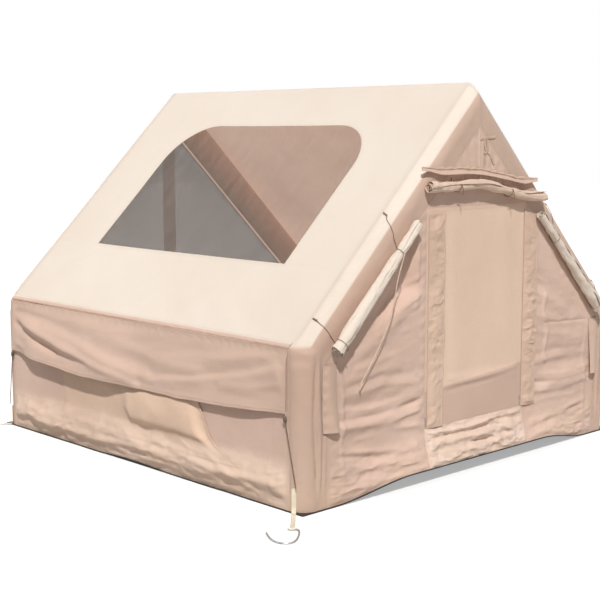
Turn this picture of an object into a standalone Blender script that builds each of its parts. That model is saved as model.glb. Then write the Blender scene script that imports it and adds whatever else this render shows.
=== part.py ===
"""Inflatable house-shaped camping tent: air beams, fabric skins, door, window flaps and fittings.

X runs across the gables, the front gable faces -Y, Z is up. The origin is on the ground, under
the middle of the floor. Lengths are in metres.
"""

import bmesh
import bpy
import numpy as np

# Main shape
TENT_WIDTH = 2.50
TENT_DEPTH = 2.58
EAVE_HEIGHT = 0.77
RIDGE_HEIGHT = 2.00

# Materials and seams
CLOTH = 0.003
FLOOR_CLOTH = 0.006
FLOOR_MARGIN = 0.006
SEAM_GAP = 0.0003

# Air beams and their sleeves
BEAM_RADIUS = 0.085
EAVE_BEND = 0.20
APEX_BEND = 0.12
RIDGE_BEAM_RADIUS = 0.06
SLEEVE_BAND = 0.07

# Inflation valve on the front right leg
VALVE_HEIGHT = 0.34
VALVE_RADIUS = 0.019
VALVE_LENGTH = 0.014
VALVE_CAP_RADIUS = 0.024
VALVE_CAP_LENGTH = 0.010

# Skylight in the left roof slope, measured from the tent's middle and from the eave and ridge
SKYLIGHT_HALF_WIDTH = 0.80
SKYLIGHT_ABOVE_EAVE = 0.48
SKYLIGHT_BELOW_RIDGE = 0.30
SKYLIGHT_CORNER = 0.30
SKYLIGHT_SEAM = 0.025
SKYLIGHT_FILM = 0.002

# Front gable
DOOR_WIDTH = 0.81
DOOR_BOTTOM = 0.27
DOOR_BELOW_RIDGE = 0.625
DOOR_FLAP_WIDTH = 0.120
DOOR_FLAP_MARGIN = 0.014
DOOR_FLAP_PUFF = 0.010
DOOR_FLAP_STEP = 0.007
DOOR_FLAP_DROP = 0.030
PEAK_TIP_GAP = 0.012
HEM_RISE = 0.068
HEM_RAMP = 0.50
SILL_REACH = 0.045
SLIDER_WIDTH = 0.010
SLIDER_LENGTH = 0.012
SLIDER_THICKNESS = 0.004
SLIDER_ABOVE_HEM = 0.045
SLIDER_GAP = 0.002
PULL_LENGTH = 0.032
BROW_BELOW_RIDGE = 0.462
BROW_HEIGHT = 0.042
BROW_REACH = 0.045
BROW_LEFT = 0.452
BROW_RIGHT = 0.500
AWNING_BELOW_RIDGE = 0.520
AWNING_LEFT = 0.43
AWNING_RIGHT = 0.53
AWNING_RADIUS = 0.027
AWNING_DROOP = 0.075
AWNING_TIES = (-0.218, 0.203)
APEX_BAR_DROP = 0.050
APEX_BAR_THICKNESS = 0.005
LEG_FLAP_INNER = 1.035
LEG_FLAP_OUTER = 1.125
LEG_FLAP_BOTTOM = 0.367
LEG_FLAP_TOP = 0.685
LEG_FLAP_ARCH = 0.018
LEG_FLAP_LIFT = 0.020

# Rolled curtains along the front rakes
CURTAIN_START = 0.110
CURTAIN_LENGTH = 0.80
CURTAIN_INSET = 0.142
CURTAIN_END_RADIUS = 0.038
CURTAIN_TOP_RADIUS = 0.025
CURTAIN_TIES = (0.055, 0.76)
TIE_LEAN = (0.035, 0.135)
TIE_RADIUS = 0.0025
TIE_WRAP = 0.016
TIE_SQUEEZE = 0.15
TIE_STEP = np.radians(22.5)
TIE_SLACK = 0.002
TOGGLE_RADIUS = 0.006
TOGGLE_LENGTH = 0.026
TOGGLE_ANGLE = np.radians(68)

# Rear gable
REAR_WINDOW_BOTTOM = 0.72
REAR_BAND_WIDTH = 0.10
MESH_CLOTH = 0.002
MESH_SEAM = 0.010

# Side walls
FLAP_BOTTOM = 0.44
FLAP_SAG = 0.018
FLAP_END_RISE = 0.012
FLAP_END_GAP = 0.012
FLAP_TOP_GAP = 0.003
FLAP_STEP = 0.006
FLAP_STANDOFF = 0.026
COVER_TOP = 0.70
COVER_BOTTOM = 0.15
COVER_REAR = 0.67
COVER_FRONT = 0.80
COVER_SWEEP = 0.33
COVER_SLACK = 0.003
SKIRT_HEIGHT = 0.22
SKIRT_BULGE = 0.016
SKIRT_END = 0.16

# Flap cords, corner loops and pegs
CORD_RADIUS = 0.0025
LOCK_RADIUS = 0.009
LOCK_LENGTH = 0.026
LOCK_CHAMFER = 0.004
LOCK_DROP = 0.012
LOCK_CLEARANCE = 0.0006
FLAP_CORD_INSET = 0.006
FLAP_CORD_SETBACK = 0.038
FLAP_CORD_STANDOFF = 0.006
LOOP_WIDTH = 0.022
LOOP_WEBBING = 0.002
LOOP_SEWN_HEIGHT = 0.12
LOOP_REACH = 0.240
LOOP_OFFSET = 0.042
LOOP_BEND = 0.006
EYE_CLEARANCE = 0.0008
PEG_RADIUS = 0.0042
PEG_CLEARANCE = 0.0002
FLOOR_LIFT_DEPTH = 0.234

# Main folds of the hanging cloth: where each starts and ends, how wide and how high it is.
# On a front wall, across from the tent's middle and up from the ground, the same on both sides.
FRONT_WALL_FOLDS = (
    ((0.99, 0.37), (0.45, 0.36), 0.040, 0.014),
    ((0.97, 0.47), (0.47, 0.46), 0.030, -0.008),
    ((0.86, 0.72), (0.50, 0.90), 0.040, 0.010),
    ((0.95, 0.58), (0.55, 0.64), 0.045, 0.007),
)
DOOR_FOLDS = (
    ((-0.40, 0.50), (0.40, 0.47), 0.030, 0.006),
    ((-0.25, 1.28), (-0.15, 0.60), 0.09, 0.006),
    ((0.22, 1.30), (0.25, 0.70), 0.08, 0.005),
)
# On a side, along the tent and up from the ground
FLAP_FOLDS = (
    ((1.02, 0.64), (-0.05, 0.45), 0.045, 0.013),
    ((-0.26, 0.51), (-1.12, 0.66), 0.050, 0.012),
    ((0.45, 0.70), (-0.55, 0.56), 0.060, 0.006),
)
COVER_FOLDS = (((-0.40, 0.36), (0.10, 0.34), 0.10, 0.014),)

# Outline of the webbing bar under the peak, across and up from its middle, down to its straps
APEX_BAR = (
    (0.030, -0.066), (0.042, -0.020), (-0.004, -0.022), (-0.004, -0.006), (0.126, 0.004),
    (0.126, -0.012), (0.064, -0.018), (0.071, -0.068), (0.075, -0.091),
)
APEX_CROTCH = ((0.058, -0.094),)
APEX_HEEL = ((0.040, -0.091), (0.030, -0.088))
APEX_STRAPS = ((0.113, 0.127), (0.041, 0.054))

# Route of the spare guy line, as steps from the roll's upper tie
GUY_LINE = (
    (0, 0, 0), (-0.045, 0.002, -0.12), (-0.070, 0.014, -0.27), (-0.120, 0.024, -0.39),
    (-0.185, 0.028, -0.49), (-0.270, 0.030, -0.60),
)

# Route of a peg's wire from the loop's eye: out along the corner, across it, and how far it is
# from the ground (0) to the eye (1)
PEG_WIRE = (
    (0.0, 0.022, 1), (0.0, -0.016, 1), (0.016, -0.030, 0.5), (0.060, -0.032, 0),
    (0.110, -0.027, 0), (0.152, -0.018, 0), (0.181, 0.002, 0), (0.186, 0.032, 0),
    (0.170, 0.064, 0), (0.130, 0.089, 0), (0.085, 0.104, 0), (0.045, 0.113, 0),
)

# Values that follow from the ones above
HALF_WIDTH = TENT_WIDTH / 2
HALF_DEPTH = TENT_DEPTH / 2
PITCH = np.arctan2(RIDGE_HEIGHT - EAVE_HEIGHT, HALF_WIDTH)
COS, SIN, TAN = np.cos(PITCH), np.sin(PITCH), np.tan(PITCH)
SLOPE_LENGTH = HALF_WIDTH / COS
SLEEVE_RADIUS = CLOTH + SEAM_GAP + BEAM_RADIUS
SLEEVE_EDGE = SLEEVE_RADIUS + SLEEVE_BAND
ON_FLOOR = FLOOR_CLOTH + SEAM_GAP
DOOR_TOP = RIDGE_HEIGHT - DOOR_BELOW_RIDGE
DOOR_HALF = DOOR_WIDTH / 2
WALL_CALM_EDGE = DOOR_HALF + DOOR_FLAP_WIDTH
BROW_BOTTOM = RIDGE_HEIGHT - BROW_BELOW_RIDGE
AWNING_HEIGHT = RIDGE_HEIGHT - AWNING_BELOW_RIDGE
EAVE_UNDERSIDE = EAVE_HEIGHT - CLOTH / COS - SEAM_GAP
LEG_INNER = HALF_WIDTH - SLEEVE_EDGE - SEAM_GAP
HEM_START = SLEEVE_RADIUS + 1.4 * BEAM_RADIUS
SIDE_HALF = HALF_DEPTH - SLEEVE_RADIUS - SEAM_GAP
FLAP_TOP = EAVE_UNDERSIDE - FLAP_TOP_GAP
FLAP_HALF = SIDE_HALF - FLAP_END_GAP
ROLL_STANDOFF = 2 * TIE_RADIUS + 2 * SEAM_GAP
BEAM_Y = HALF_DEPTH - SLEEVE_RADIUS

# The line that both air beams follow, at the middle of the beam
EAVE_CORNER = (HALF_WIDTH - SLEEVE_RADIUS, EAVE_HEIGHT - SLEEVE_RADIUS * COS / (1 + SIN))
APEX_CORNER = (0.0, RIDGE_HEIGHT - SLEEVE_RADIUS / COS)


for old in list(bpy.data.objects):
    bpy.data.objects.remove(old)


def material(name, colour, roughness, metallic=0.0, alpha=1.0):
    made = bpy.data.materials.new(name)
    made.use_nodes = True
    shader = made.node_tree.nodes["Principled BSDF"]
    shader.inputs["Base Color"].default_value = (*colour, 1)
    shader.inputs["Roughness"].default_value = roughness
    shader.inputs["Metallic"].default_value = metallic
    shader.inputs["Alpha"].default_value = alpha
    return made


ROOF_CLOTH = material("roof_cloth", (0.86, 0.79, 0.69), 0.8)
WALL_CLOTH = material("wall_cloth", (0.70, 0.52, 0.42), 0.85)
DOOR_CLOTH = material("door_cloth", (0.72, 0.52, 0.38), 0.85)
WINDOW_FILM = material("window_film", (0.30, 0.25, 0.22), 0.15, 0.0, 0.35)
MESH_NET = material("mesh_net", (0.08, 0.08, 0.08), 0.9, 0.0, 0.5)
FLOOR_SHEET = material("floor_sheet", (0.04, 0.04, 0.04), 0.6)
BEAM_FILM = material("beam_film", (0.45, 0.30, 0.22), 0.5)
WEBBING = material("webbing", (0.88, 0.85, 0.76), 0.9)
DARK_CORD = material("dark_cord", (0.03, 0.03, 0.03), 0.7)
DARK_PLASTIC = material("dark_plastic", (0.03, 0.03, 0.035), 0.4)
STEEL = material("steel", (0.5, 0.5, 0.5), 0.3, 1.0)


def smoothstep(value, low, high):
    t = np.clip((value - low) / (high - low), 0, 1)
    return t * t * (3 - 2 * t)


def ridge(x, z, start, end, width, height):
    """A soft ridge of cloth along the line from start to end, seen square on."""
    line = np.subtract(end, start)
    along = ((x - start[0]) * line[0] + (z - start[1]) * line[1]) / (line @ line)
    along = np.clip(along, 0, 1)
    away = np.hypot(x - start[0] - along * line[0], z - start[1] - along * line[1])
    return height * np.exp(-((away / width) ** 2))


def folded(x, z, folds):
    return sum(ridge(x, z, *fold) for fold in folds)


def edge_fade(part, margin):
    return smoothstep(np.minimum(part, 1 - part), 0, margin)


def finish(name, mesh, look, origin, smooth):
    """Makes the object, with its normals outward and its origin where it turns or sits."""
    work = bmesh.new()
    work.from_mesh(mesh)
    bmesh.ops.recalc_face_normals(work, faces=work.faces)
    work.to_mesh(mesh)
    work.free()
    if smooth:
        mesh.shade_smooth()
        mesh.set_sharp_from_angle(angle=np.radians(40))
    mesh.materials.append(look)
    made = bpy.data.objects.new(name, mesh)
    made.location = origin
    bpy.context.collection.objects.link(made)
    return made


def solid(name, points, faces, look, origin=(0, 0, 0), smooth=False):
    mesh = bpy.data.meshes.new(name)
    mesh.from_pydata((np.asarray(points, float) - origin).tolist(), [], faces)
    return finish(name, mesh, look, origin, smooth)


def sheet(name, outer, inner, look, origin=(0, 0, 0)):
    """A closed sheet between two grids of points, each of shape (rows, columns, 3)."""
    rows, columns = outer.shape[:2]
    index = np.arange(rows * columns).reshape(rows, columns)
    count = rows * columns
    faces = []
    for i in range(rows - 1):
        for j in range(columns - 1):
            corners = [index[i, j], index[i + 1, j], index[i + 1, j + 1], index[i, j + 1]]
            faces.append([int(k) for k in corners])
            faces.append([int(k) + count for k in reversed(corners)])
    rim = [*index[0, :], *index[1:, -1], *index[-1, -2::-1], *index[-2:0:-1, 0]]
    for here, there in zip(rim, rim[1:] + rim[:1]):
        faces.append([int(here), int(there), int(there) + count, int(here) + count])
    points = np.concatenate([outer.reshape(-1, 3), inner.reshape(-1, 3)])
    return solid(name, points, faces, look, origin, True)


def prism(name, outline, offset, look, origin=(0, 0, 0)):
    """A flat plate: a ring of corner points and the same ring moved by offset."""
    outline = np.asarray(outline, float)
    count = len(outline)
    faces = [list(range(count)), list(range(2 * count - 1, count - 1, -1))]
    for i in range(count):
        after = (i + 1) % count
        faces.append([i, after, after + count, i + count])
    return solid(name, np.concatenate([outline, outline + offset]), faces, look, origin)


def tube(name, points, radius, look, resolution=2, origin=(0, 0, 0)):
    """A round tube along the points. The radius is one value, or one for each point."""
    curve = bpy.data.curves.new(name, "CURVE")
    curve.dimensions = "3D"
    curve.bevel_depth = 1.0
    curve.bevel_resolution = resolution
    curve.use_fill_caps = True
    line = curve.splines.new("POLY")
    line.points.add(len(points) - 1)
    radii = np.broadcast_to(radius, len(points))
    for point, place, size in zip(line.points, points, radii):
        point.co = (*(np.asarray(place) - origin), 1)
        point.radius = size
    curve.materials.append(look)
    made = bpy.data.objects.new(name, curve)
    made.location = origin
    bpy.context.collection.objects.link(made)
    return made


def smooth_route(points, count):
    """Evenly spaced points on a smooth curve through the given ones."""
    points = np.asarray(points, float)
    padded = np.concatenate([[2 * points[0] - points[1]], points, [2 * points[-1] - points[-2]]])
    t = np.linspace(0, 1, 24, endpoint=False)[:, None]
    fine = []
    for a, b, c, d in zip(padded, padded[1:], padded[2:], padded[3:]):
        bend = 2 * b + (c - a) * t + (2 * a - 5 * b + 4 * c - d) * t**2
        fine.append((bend + (3 * b - a - 3 * c + d) * t**3) / 2)
    fine = np.concatenate([*fine, points[-1:]])
    walked = np.concatenate([[0], np.cumsum(np.linalg.norm(np.diff(fine, axis=0), axis=1))])
    wanted = np.linspace(0, walked[-1], count)
    return np.stack([np.interp(wanted, walked, fine[:, k]) for k in range(3)], axis=1)


def rounded(corners, radii, steps):
    """A line through the corners, each turned into an arc of its radius. Ends stay as they are."""
    corners = np.asarray(corners, float)
    path = [corners[0]]
    for before, corner, after, radius in zip(corners, corners[1:], corners[2:], radii):
        back = (before - corner) / np.linalg.norm(before - corner)
        ahead = (after - corner) / np.linalg.norm(after - corner)
        half = np.arccos(np.clip(back @ ahead, -1, 1)) / 2
        middle = (back + ahead) / np.linalg.norm(back + ahead)
        centre = corner + middle * radius / np.sin(half)
        start = corner + back * radius / np.tan(half) - centre
        end = corner + ahead * radius / np.tan(half) - centre
        turn = np.pi - 2 * half
        for t in np.linspace(0, 1, steps):
            mix = np.sin((1 - t) * turn) * start + np.sin(t * turn) * end
            path.append(centre + mix / np.sin(turn))
    path.append(corners[-1])
    return np.array(path)


def rake_limit(x, inset):
    """Height of the line that runs under the roof slope at this distance from it."""
    return RIDGE_HEIGHT - np.abs(x) * TAN - inset / COS


def slope_point(side, along, y, out):
    """A point on a roof slope: distance up from the eave, place along the tent, height off it."""
    x = HALF_WIDTH - along * COS + out * SIN
    return np.array([side * x, y, EAVE_HEIGHT + along * SIN + out * COS])


# Air beams, their sleeves and the valve


def gable_beam(name, end):
    y = end * BEAM_Y
    corners = [
        (-EAVE_CORNER[0], y, ON_FLOOR),
        (-EAVE_CORNER[0], y, EAVE_CORNER[1]),
        (0, y, APEX_CORNER[1]),
        (EAVE_CORNER[0], y, EAVE_CORNER[1]),
        (EAVE_CORNER[0], y, ON_FLOOR),
    ]
    path = rounded(corners, (EAVE_BEND, APEX_BEND, EAVE_BEND), 7)
    return tube(name, path, BEAM_RADIUS, BEAM_FILM, 4)


def beam_sleeve(name, side, end):
    """The fabric channel round a beam's outer corner, from the foot to the apex, mitred."""
    outer_angles = np.radians(np.linspace(90, 0, 7))
    outer = [(SLEEVE_RADIUS * np.cos(a), SLEEVE_RADIUS * np.sin(a)) for a in outer_angles]
    inner_radius = SLEEVE_RADIUS - CLOTH
    inner = [(inner_radius * np.cos(a), inner_radius * np.sin(a)) for a in outer_angles[::-1]]
    band = -SLEEVE_BAND
    profile = np.array([*outer, (SLEEVE_RADIUS, band), (inner_radius, band), *inner])
    reach, out = profile.T
    y = end * (BEAM_Y + reach)
    foot = [EAVE_CORNER[0] + out, y, np.full_like(out, ON_FLOOR)]
    eave = [EAVE_CORNER[0] + out, y, EAVE_CORNER[1] + out * COS / (1 + SIN)]
    half_gap = SEAM_GAP / 2
    apex_height = APEX_CORNER[1] + out / COS - half_gap * TAN
    apex = [np.full_like(out, half_gap), y, apex_height]
    rings = np.array([foot, eave, apex]).transpose(0, 2, 1)
    rings[:, :, 0] *= side
    count = len(profile)
    faces = [list(range(count)), list(range(2 * count, 3 * count))]
    for ring in range(2):
        for i in range(count):
            after = (i + 1) % count
            low, high = ring * count, (ring + 1) * count
            faces.append([low + i, low + after, high + after, high + i])
    return solid(name, rings.reshape(-1, 3), faces, ROOF_CLOTH, smooth=True)


def ridge_beam():
    height = RIDGE_HEIGHT - (RIDGE_BEAM_RADIUS + CLOTH + SEAM_GAP) / COS
    reach = BEAM_Y - BEAM_RADIUS - SEAM_GAP
    ends = [(0, -reach, height), (0, reach, height)]
    return tube("ridge_air_beam", ends, RIDGE_BEAM_RADIUS, BEAM_FILM, 6)


def turned(name, profile, look, origin, turns_to="-X", segments=16):
    """A round piece from (radius, distance) pairs along its axis, with the first and last at 0."""
    points = []
    angles = np.linspace(0, 2 * np.pi, segments, endpoint=False)
    for radius, along in profile:
        for angle in angles:
            points.append((along, radius * np.cos(angle), radius * np.sin(angle)))
    faces = []
    rings = len(profile)
    for ring in range(rings - 1):
        for i in range(segments):
            after = (i + 1) % segments
            low, high = ring * segments, (ring + 1) * segments
            faces.append([low + i, low + after, high + after, high + i])
    faces.append(list(range(segments)))
    faces.append(list(range((rings - 1) * segments, rings * segments)))
    points = np.array(points)
    if turns_to == "-X":
        points[:, 0] *= -1
    return solid(name, points + origin, faces, look, origin, True)


def valve():
    surface = EAVE_CORNER[0] - BEAM_RADIUS - SEAM_GAP
    seat = np.array([surface, -BEAM_Y, VALVE_HEIGHT])
    flange = VALVE_RADIUS * 1.35
    body = [(flange, 0), (flange, VALVE_LENGTH * 0.3), (VALVE_RADIUS, VALVE_LENGTH * 0.35)]
    body += [(VALVE_RADIUS, VALVE_LENGTH)]
    turned("inflation_valve", body, DARK_PLASTIC, seat)
    cap_seat = seat - np.array([VALVE_LENGTH + SEAM_GAP, 0, 0])
    grip = VALVE_CAP_RADIUS * 0.62
    cap = [(VALVE_CAP_RADIUS, 0), (VALVE_CAP_RADIUS, VALVE_CAP_LENGTH * 0.6)]
    cap += [(grip, VALVE_CAP_LENGTH * 0.75), (grip * 0.9, VALVE_CAP_LENGTH)]
    turned("valve_cap", cap, DARK_PLASTIC, cap_seat)


# Roof slopes and skylight


def skylight_outline(margin):
    """Corners of the skylight as (y, distance up the slope): square below, rounded above."""
    low = SKYLIGHT_ABOVE_EAVE - margin
    high = SLOPE_LENGTH - SKYLIGHT_BELOW_RIDGE + margin
    side = SKYLIGHT_HALF_WIDTH + margin
    corner = SKYLIGHT_CORNER + margin
    outline = [(-side, low), (side, low)]
    for start, sign in ((0, 1), (90, -1)):
        for angle in np.radians(np.linspace(start, start + 90, 9)):
            y = sign * (side - corner) + corner * np.cos(angle)
            outline.append((y, high - corner + corner * np.sin(angle)))
    return outline


def skylight_plate(name, margin, top, bottom, look):
    ring = [slope_point(-1, along, y, top) for y, along in skylight_outline(margin)]
    drop = slope_point(-1, 0, 0, bottom) - slope_point(-1, 0, 0, top)
    return prism(name, ring, drop, look)


def roof_panel(name, side):
    points = []
    for y in (-SIDE_HALF, SIDE_HALF):
        for along, out in ((0, 0), (0, -CLOTH)):
            points.append(slope_point(side, along, y, out))
        for out in (-CLOTH, 0):
            along = (HALF_WIDTH + out * SIN - SEAM_GAP / 2) / COS
            points.append(slope_point(side, along, y, out))
    faces = [[0, 1, 2, 3], [7, 6, 5, 4], [0, 4, 5, 1], [1, 5, 6, 2], [2, 6, 7, 3], [3, 7, 4, 0]]
    return solid(name, points, faces, ROOF_CLOTH)


def skylight():
    roof = bpy.data.objects["left_roof_panel"]
    cutter = skylight_plate("skylight_cutter", 0, 0.02, -0.02, WINDOW_FILM)
    cutter.hide_render = True
    cutter.display_type = "WIRE"
    cut = roof.modifiers.new("skylight", "BOOLEAN")
    cut.operation = "DIFFERENCE"
    cut.object = cutter
    top = -CLOTH - SEAM_GAP
    skylight_plate("skylight_window", SKYLIGHT_SEAM, top, top - SKYLIGHT_FILM, WINDOW_FILM)


# Front gable


def hem_part(x):
    """How far the front hem is lifted and pushed out: 0 at the legs, 1 in the middle."""
    return smoothstep(HALF_WIDTH - np.abs(x), HEM_START, HEM_START + HEM_RAMP)


def sill_push(x, z):
    hem = HEM_RISE * hem_part(x) + ON_FLOOR
    low = np.clip((DOOR_BOTTOM - z) / (DOOR_BOTTOM - hem), 0, 1)
    return SILL_REACH * hem_part(x) * low**1.5


def front_sheet(name, x, z, out, look, sewn_on=False, origin=(0, 0, 0)):
    """A sheet in the front gable plane, or sewn on it, from grids of x, z and how far it stands out."""
    lift = CLOTH + SEAM_GAP if sewn_on else 0
    outer = np.stack([x, -HALF_DEPTH - lift - out, z], axis=-1)
    return sheet(name, outer, outer + (0, CLOTH, 0), look, origin)


def wall_columns():
    """Where a front wall's columns stand: flat beside the leg and under the door's storm flap."""
    middle = np.linspace(HALF_WIDTH - HEM_START, WALL_CALM_EDGE, 8)
    return np.array([LEG_INNER, *middle, DOOR_HALF + SEAM_GAP])


def sill_columns():
    half = DOOR_HALF - SEAM_GAP
    return np.linspace(-half, half, 7)


def front_wall(name, side):
    x = wall_columns()
    low = ON_FLOOR + HEM_RISE * hem_part(x)
    high = np.minimum(rake_limit(x, SLEEVE_EDGE + SEAM_GAP), DOOR_TOP)
    tuck = low + (DOOR_BOTTOM - low) * np.linspace(0, 1, 6)[:-1, None]
    above = DOOR_BOTTOM + (high - DOOR_BOTTOM) * np.linspace(0, 1, 10)[:, None]
    z = np.concatenate([tuck, above])
    part = (z - low) / (high - low)
    x = np.broadcast_to(x, z.shape)
    across = (x - x[:, -1:]) / (x[:, :1] - x[:, -1:])
    calm = smoothstep(x, WALL_CALM_EDGE, WALL_CALM_EDGE + DOOR_FLAP_WIDTH)
    calm = calm * smoothstep(1 - across, 0, 0.2) * edge_fade(part, 0.10)
    out = sill_push(x, z) + calm * folded(x, z, FRONT_WALL_FOLDS)
    return front_sheet(name, side * x, z, out, WALL_CLOTH)


def door_flap(name, side):
    """The puckered storm flap beside a door zip, sewn to the door. Both lie to the right."""
    sewn = side * DOOR_HALF - side * DOOR_FLAP_MARGIN
    start, end = (sewn, sewn + DOOR_FLAP_WIDTH)
    part = np.linspace(0, 1, 21)[:, None]
    across = np.linspace(0, 1, 5)
    x = start + (end - start) * across
    roll_side = CURTAIN_INSET + 2 * CURTAIN_TOP_RADIUS
    top = np.minimum(DOOR_TOP - DOOR_FLAP_DROP, rake_limit(x, roll_side))
    z = DOOR_BOTTOM + (top - DOOR_BOTTOM) * part
    pucker = np.sin(z * 41) * 0.5 + np.sin(z * 29 + 1) * 0.5
    out = DOOR_FLAP_PUFF * np.sin(np.pi * across * 0.9) * (0.6 + 0.4 * pucker)
    x, z, out = np.broadcast_arrays(x, z, out + DOOR_FLAP_STEP * across)
    front_sheet(name, x, z, out, DOOR_CLOTH, True)


def door():
    half = DOOR_HALF - SEAM_GAP
    part = np.linspace(0, 1, 13)[:, None]
    z = DOOR_BOTTOM + (DOOR_TOP - DOOR_BOTTOM) * part
    flat_left = DOOR_FLAP_WIDTH + DOOR_FLAP_MARGIN - half
    flat_right = half - DOOR_FLAP_MARGIN - SLIDER_WIDTH - 2 * SLIDER_GAP
    x = np.array([-half, *np.linspace(flat_left, flat_right, 8), half])
    calm = smoothstep(x, flat_left, flat_left + 0.08) * smoothstep(-x, -flat_right, 0.08 - flat_right)
    calm = calm * edge_fade(part, 0.10)
    x, z = np.broadcast_arrays(x, z)
    out = calm * folded(x, z, DOOR_FOLDS)
    hinge = (0, -HALF_DEPTH, DOOR_TOP)
    front_sheet("door_panel", x, z, out, DOOR_CLOTH, origin=hinge)


def door_sill():
    half = DOOR_HALF - SEAM_GAP
    x = sill_columns()
    low = ON_FLOOR + HEM_RISE * hem_part(x)
    part = np.linspace(0, 1, 8)[:, None]
    z = low + (DOOR_BOTTOM - SEAM_GAP - low) * part
    x = np.broadcast_to(x, z.shape)
    across = (x + half) / (2 * half)
    calm = edge_fade(across, 0.15) * edge_fade(part, 0.2)
    crumple = 2 * CLOTH * np.sin(x * 24 + 9 * z) * np.sin(part * np.pi)
    out = sill_push(x, z) + calm * crumple
    return front_sheet("door_sill", x, z, out, DOOR_CLOTH)


def gable_peak(name):
    """The top triangle of the front gable, above the door."""
    rows, columns = 7, 7
    tip = rake_limit(0, SLEEVE_EDGE + SEAM_GAP) - PEAK_TIP_GAP
    z = np.linspace(DOOR_TOP + SEAM_GAP, tip, rows)[:, None]
    half = (rake_limit(0, SLEEVE_EDGE + SEAM_GAP) - z) / TAN
    x = half * np.linspace(-1, 1, columns)
    z = np.broadcast_to(z, x.shape)
    return front_sheet(name, x, z, np.zeros_like(x), WALL_CLOTH)


def zip_slider(name, side):
    """A slider with its pull tab, on the door's zip just above its lower corner."""
    flap_edge = side * (DOOR_HALF - DOOR_FLAP_MARGIN)
    x = flap_edge - SLIDER_WIDTH / 2 - SLIDER_GAP
    z = DOOR_BOTTOM + SLIDER_ABOVE_HEM
    y = -HALF_DEPTH - SEAM_GAP
    wide, neck, tab = 0.5 * SLIDER_WIDTH, 0.22 * SLIDER_WIDTH, 0.32 * SLIDER_WIDTH
    right = [(wide, SLIDER_LENGTH), (wide, 0), (neck, 0), (tab, -PULL_LENGTH)]
    outline = right + [(-dx, dz) for dx, dz in reversed(right)]
    ring = [(x + dx, y, z + dz) for dx, dz in outline]
    prism(name, ring, (0, -SLIDER_THICKNESS, 0), STEEL, (x, y, z))


def droop(x):
    """The brow and the rolled awning hang lower towards the right."""
    return AWNING_DROOP * smoothstep(x, -0.3 * AWNING_LEFT, AWNING_RIGHT)


def brow():
    rows, columns = 4, 13
    x = np.linspace(-BROW_LEFT, BROW_RIGHT, columns)
    across = (x + BROW_LEFT) / (BROW_LEFT + BROW_RIGHT)
    reach = BROW_REACH * np.sin(np.pi * np.clip(across, 0, 1)) ** 0.4
    part = np.linspace(0, 1, rows)[:, None]
    z = BROW_BOTTOM - droop(x) + BROW_HEIGHT * part
    out = reach * (1 - part) ** 0.8
    x, z, out = np.broadcast_arrays(x, z, out)
    front_sheet("brow_flap", x, z, out, WALL_CLOTH, True)


def awning_centre(x):
    y = -HALF_DEPTH - ROLL_STANDOFF - AWNING_RADIUS
    return np.array([x, y, AWNING_HEIGHT - droop(x)])


def drawn_in(places, ties, spread):
    """A roll's size at these places along it, as a share: its ties draw it in."""
    return 1 - TIE_SQUEEZE * sum(np.exp(-(((places - tie) / spread) ** 2)) for tie in ties)


def tie_ring(place, wrap, places, radii):
    """Radius of a tie's line round a roll: clear of it all along the stretch that it winds over."""
    ends = np.interp([place - wrap / 2, place + wrap / 2], places, radii)
    return max(ends) / np.cos(TIE_STEP / 2) + TIE_RADIUS + SEAM_GAP


def awning_sizes():
    x = np.sort([*np.linspace(-AWNING_LEFT, AWNING_RIGHT, 19), *AWNING_TIES])
    return x, AWNING_RADIUS * drawn_in(x, AWNING_TIES, 2 * AWNING_RADIUS)


def awning_roll():
    x, radii = awning_sizes()
    points = np.array([awning_centre(value) for value in x])
    tube("awning_roll", points, radii, WALL_CLOTH, 3)


def awning_tie(name, x):
    """A tie sewn to the gable above the awning roll, round the roll and hanging in front."""
    centre = awning_centre(x)
    ring = tie_ring(x, TIE_WRAP, *awning_sizes())
    back = -HALF_DEPTH - SEAM_GAP - TIE_RADIUS
    left = x - TIE_WRAP / 2
    path = [(left, back, centre[2] + ring + TIE_WRAP), (left, back, centre[2] + TIE_WRAP / 2)]
    for turn in np.linspace(0.15, 1, 9):
        angle = 9.3 * TIE_STEP * turn
        y = centre[1] + ring * np.cos(angle)
        path.append((left + TIE_WRAP * turn, y, centre[2] - ring * np.sin(angle)))
    front = centre[1] - ring - 2 * TIE_SLACK
    path.append((x + 0.75 * TIE_WRAP, front, centre[2] - 0.75 * TIE_WRAP))
    path.append((x + 0.9 * TIE_WRAP, front, centre[2] - ring - TIE_WRAP))
    tube(name, path, TIE_RADIUS, DARK_CORD, 1)


def curtain_radius(part):
    return CURTAIN_END_RADIUS + (CURTAIN_TOP_RADIUS - CURTAIN_END_RADIUS) * part**0.7


def curtain_centre(side, along):
    part = np.clip((along - CURTAIN_START) / CURTAIN_LENGTH, 0, 1)
    y = -HALF_DEPTH - ROLL_STANDOFF - curtain_radius(part)
    return slope_point(side, along, y, -CURTAIN_INSET)


def curtain_sizes():
    part = np.sort([*np.linspace(0, 1, 18), *CURTAIN_TIES])
    return part, curtain_radius(part) * drawn_in(part, CURTAIN_TIES, 0.05)


def curtain_roll(name, side):
    part, radii = curtain_sizes()
    along = CURTAIN_START + CURTAIN_LENGTH * part
    points = np.array([curtain_centre(side, value) for value in along])
    tube(name, points, radii, ROOF_CLOTH, 3)


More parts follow.
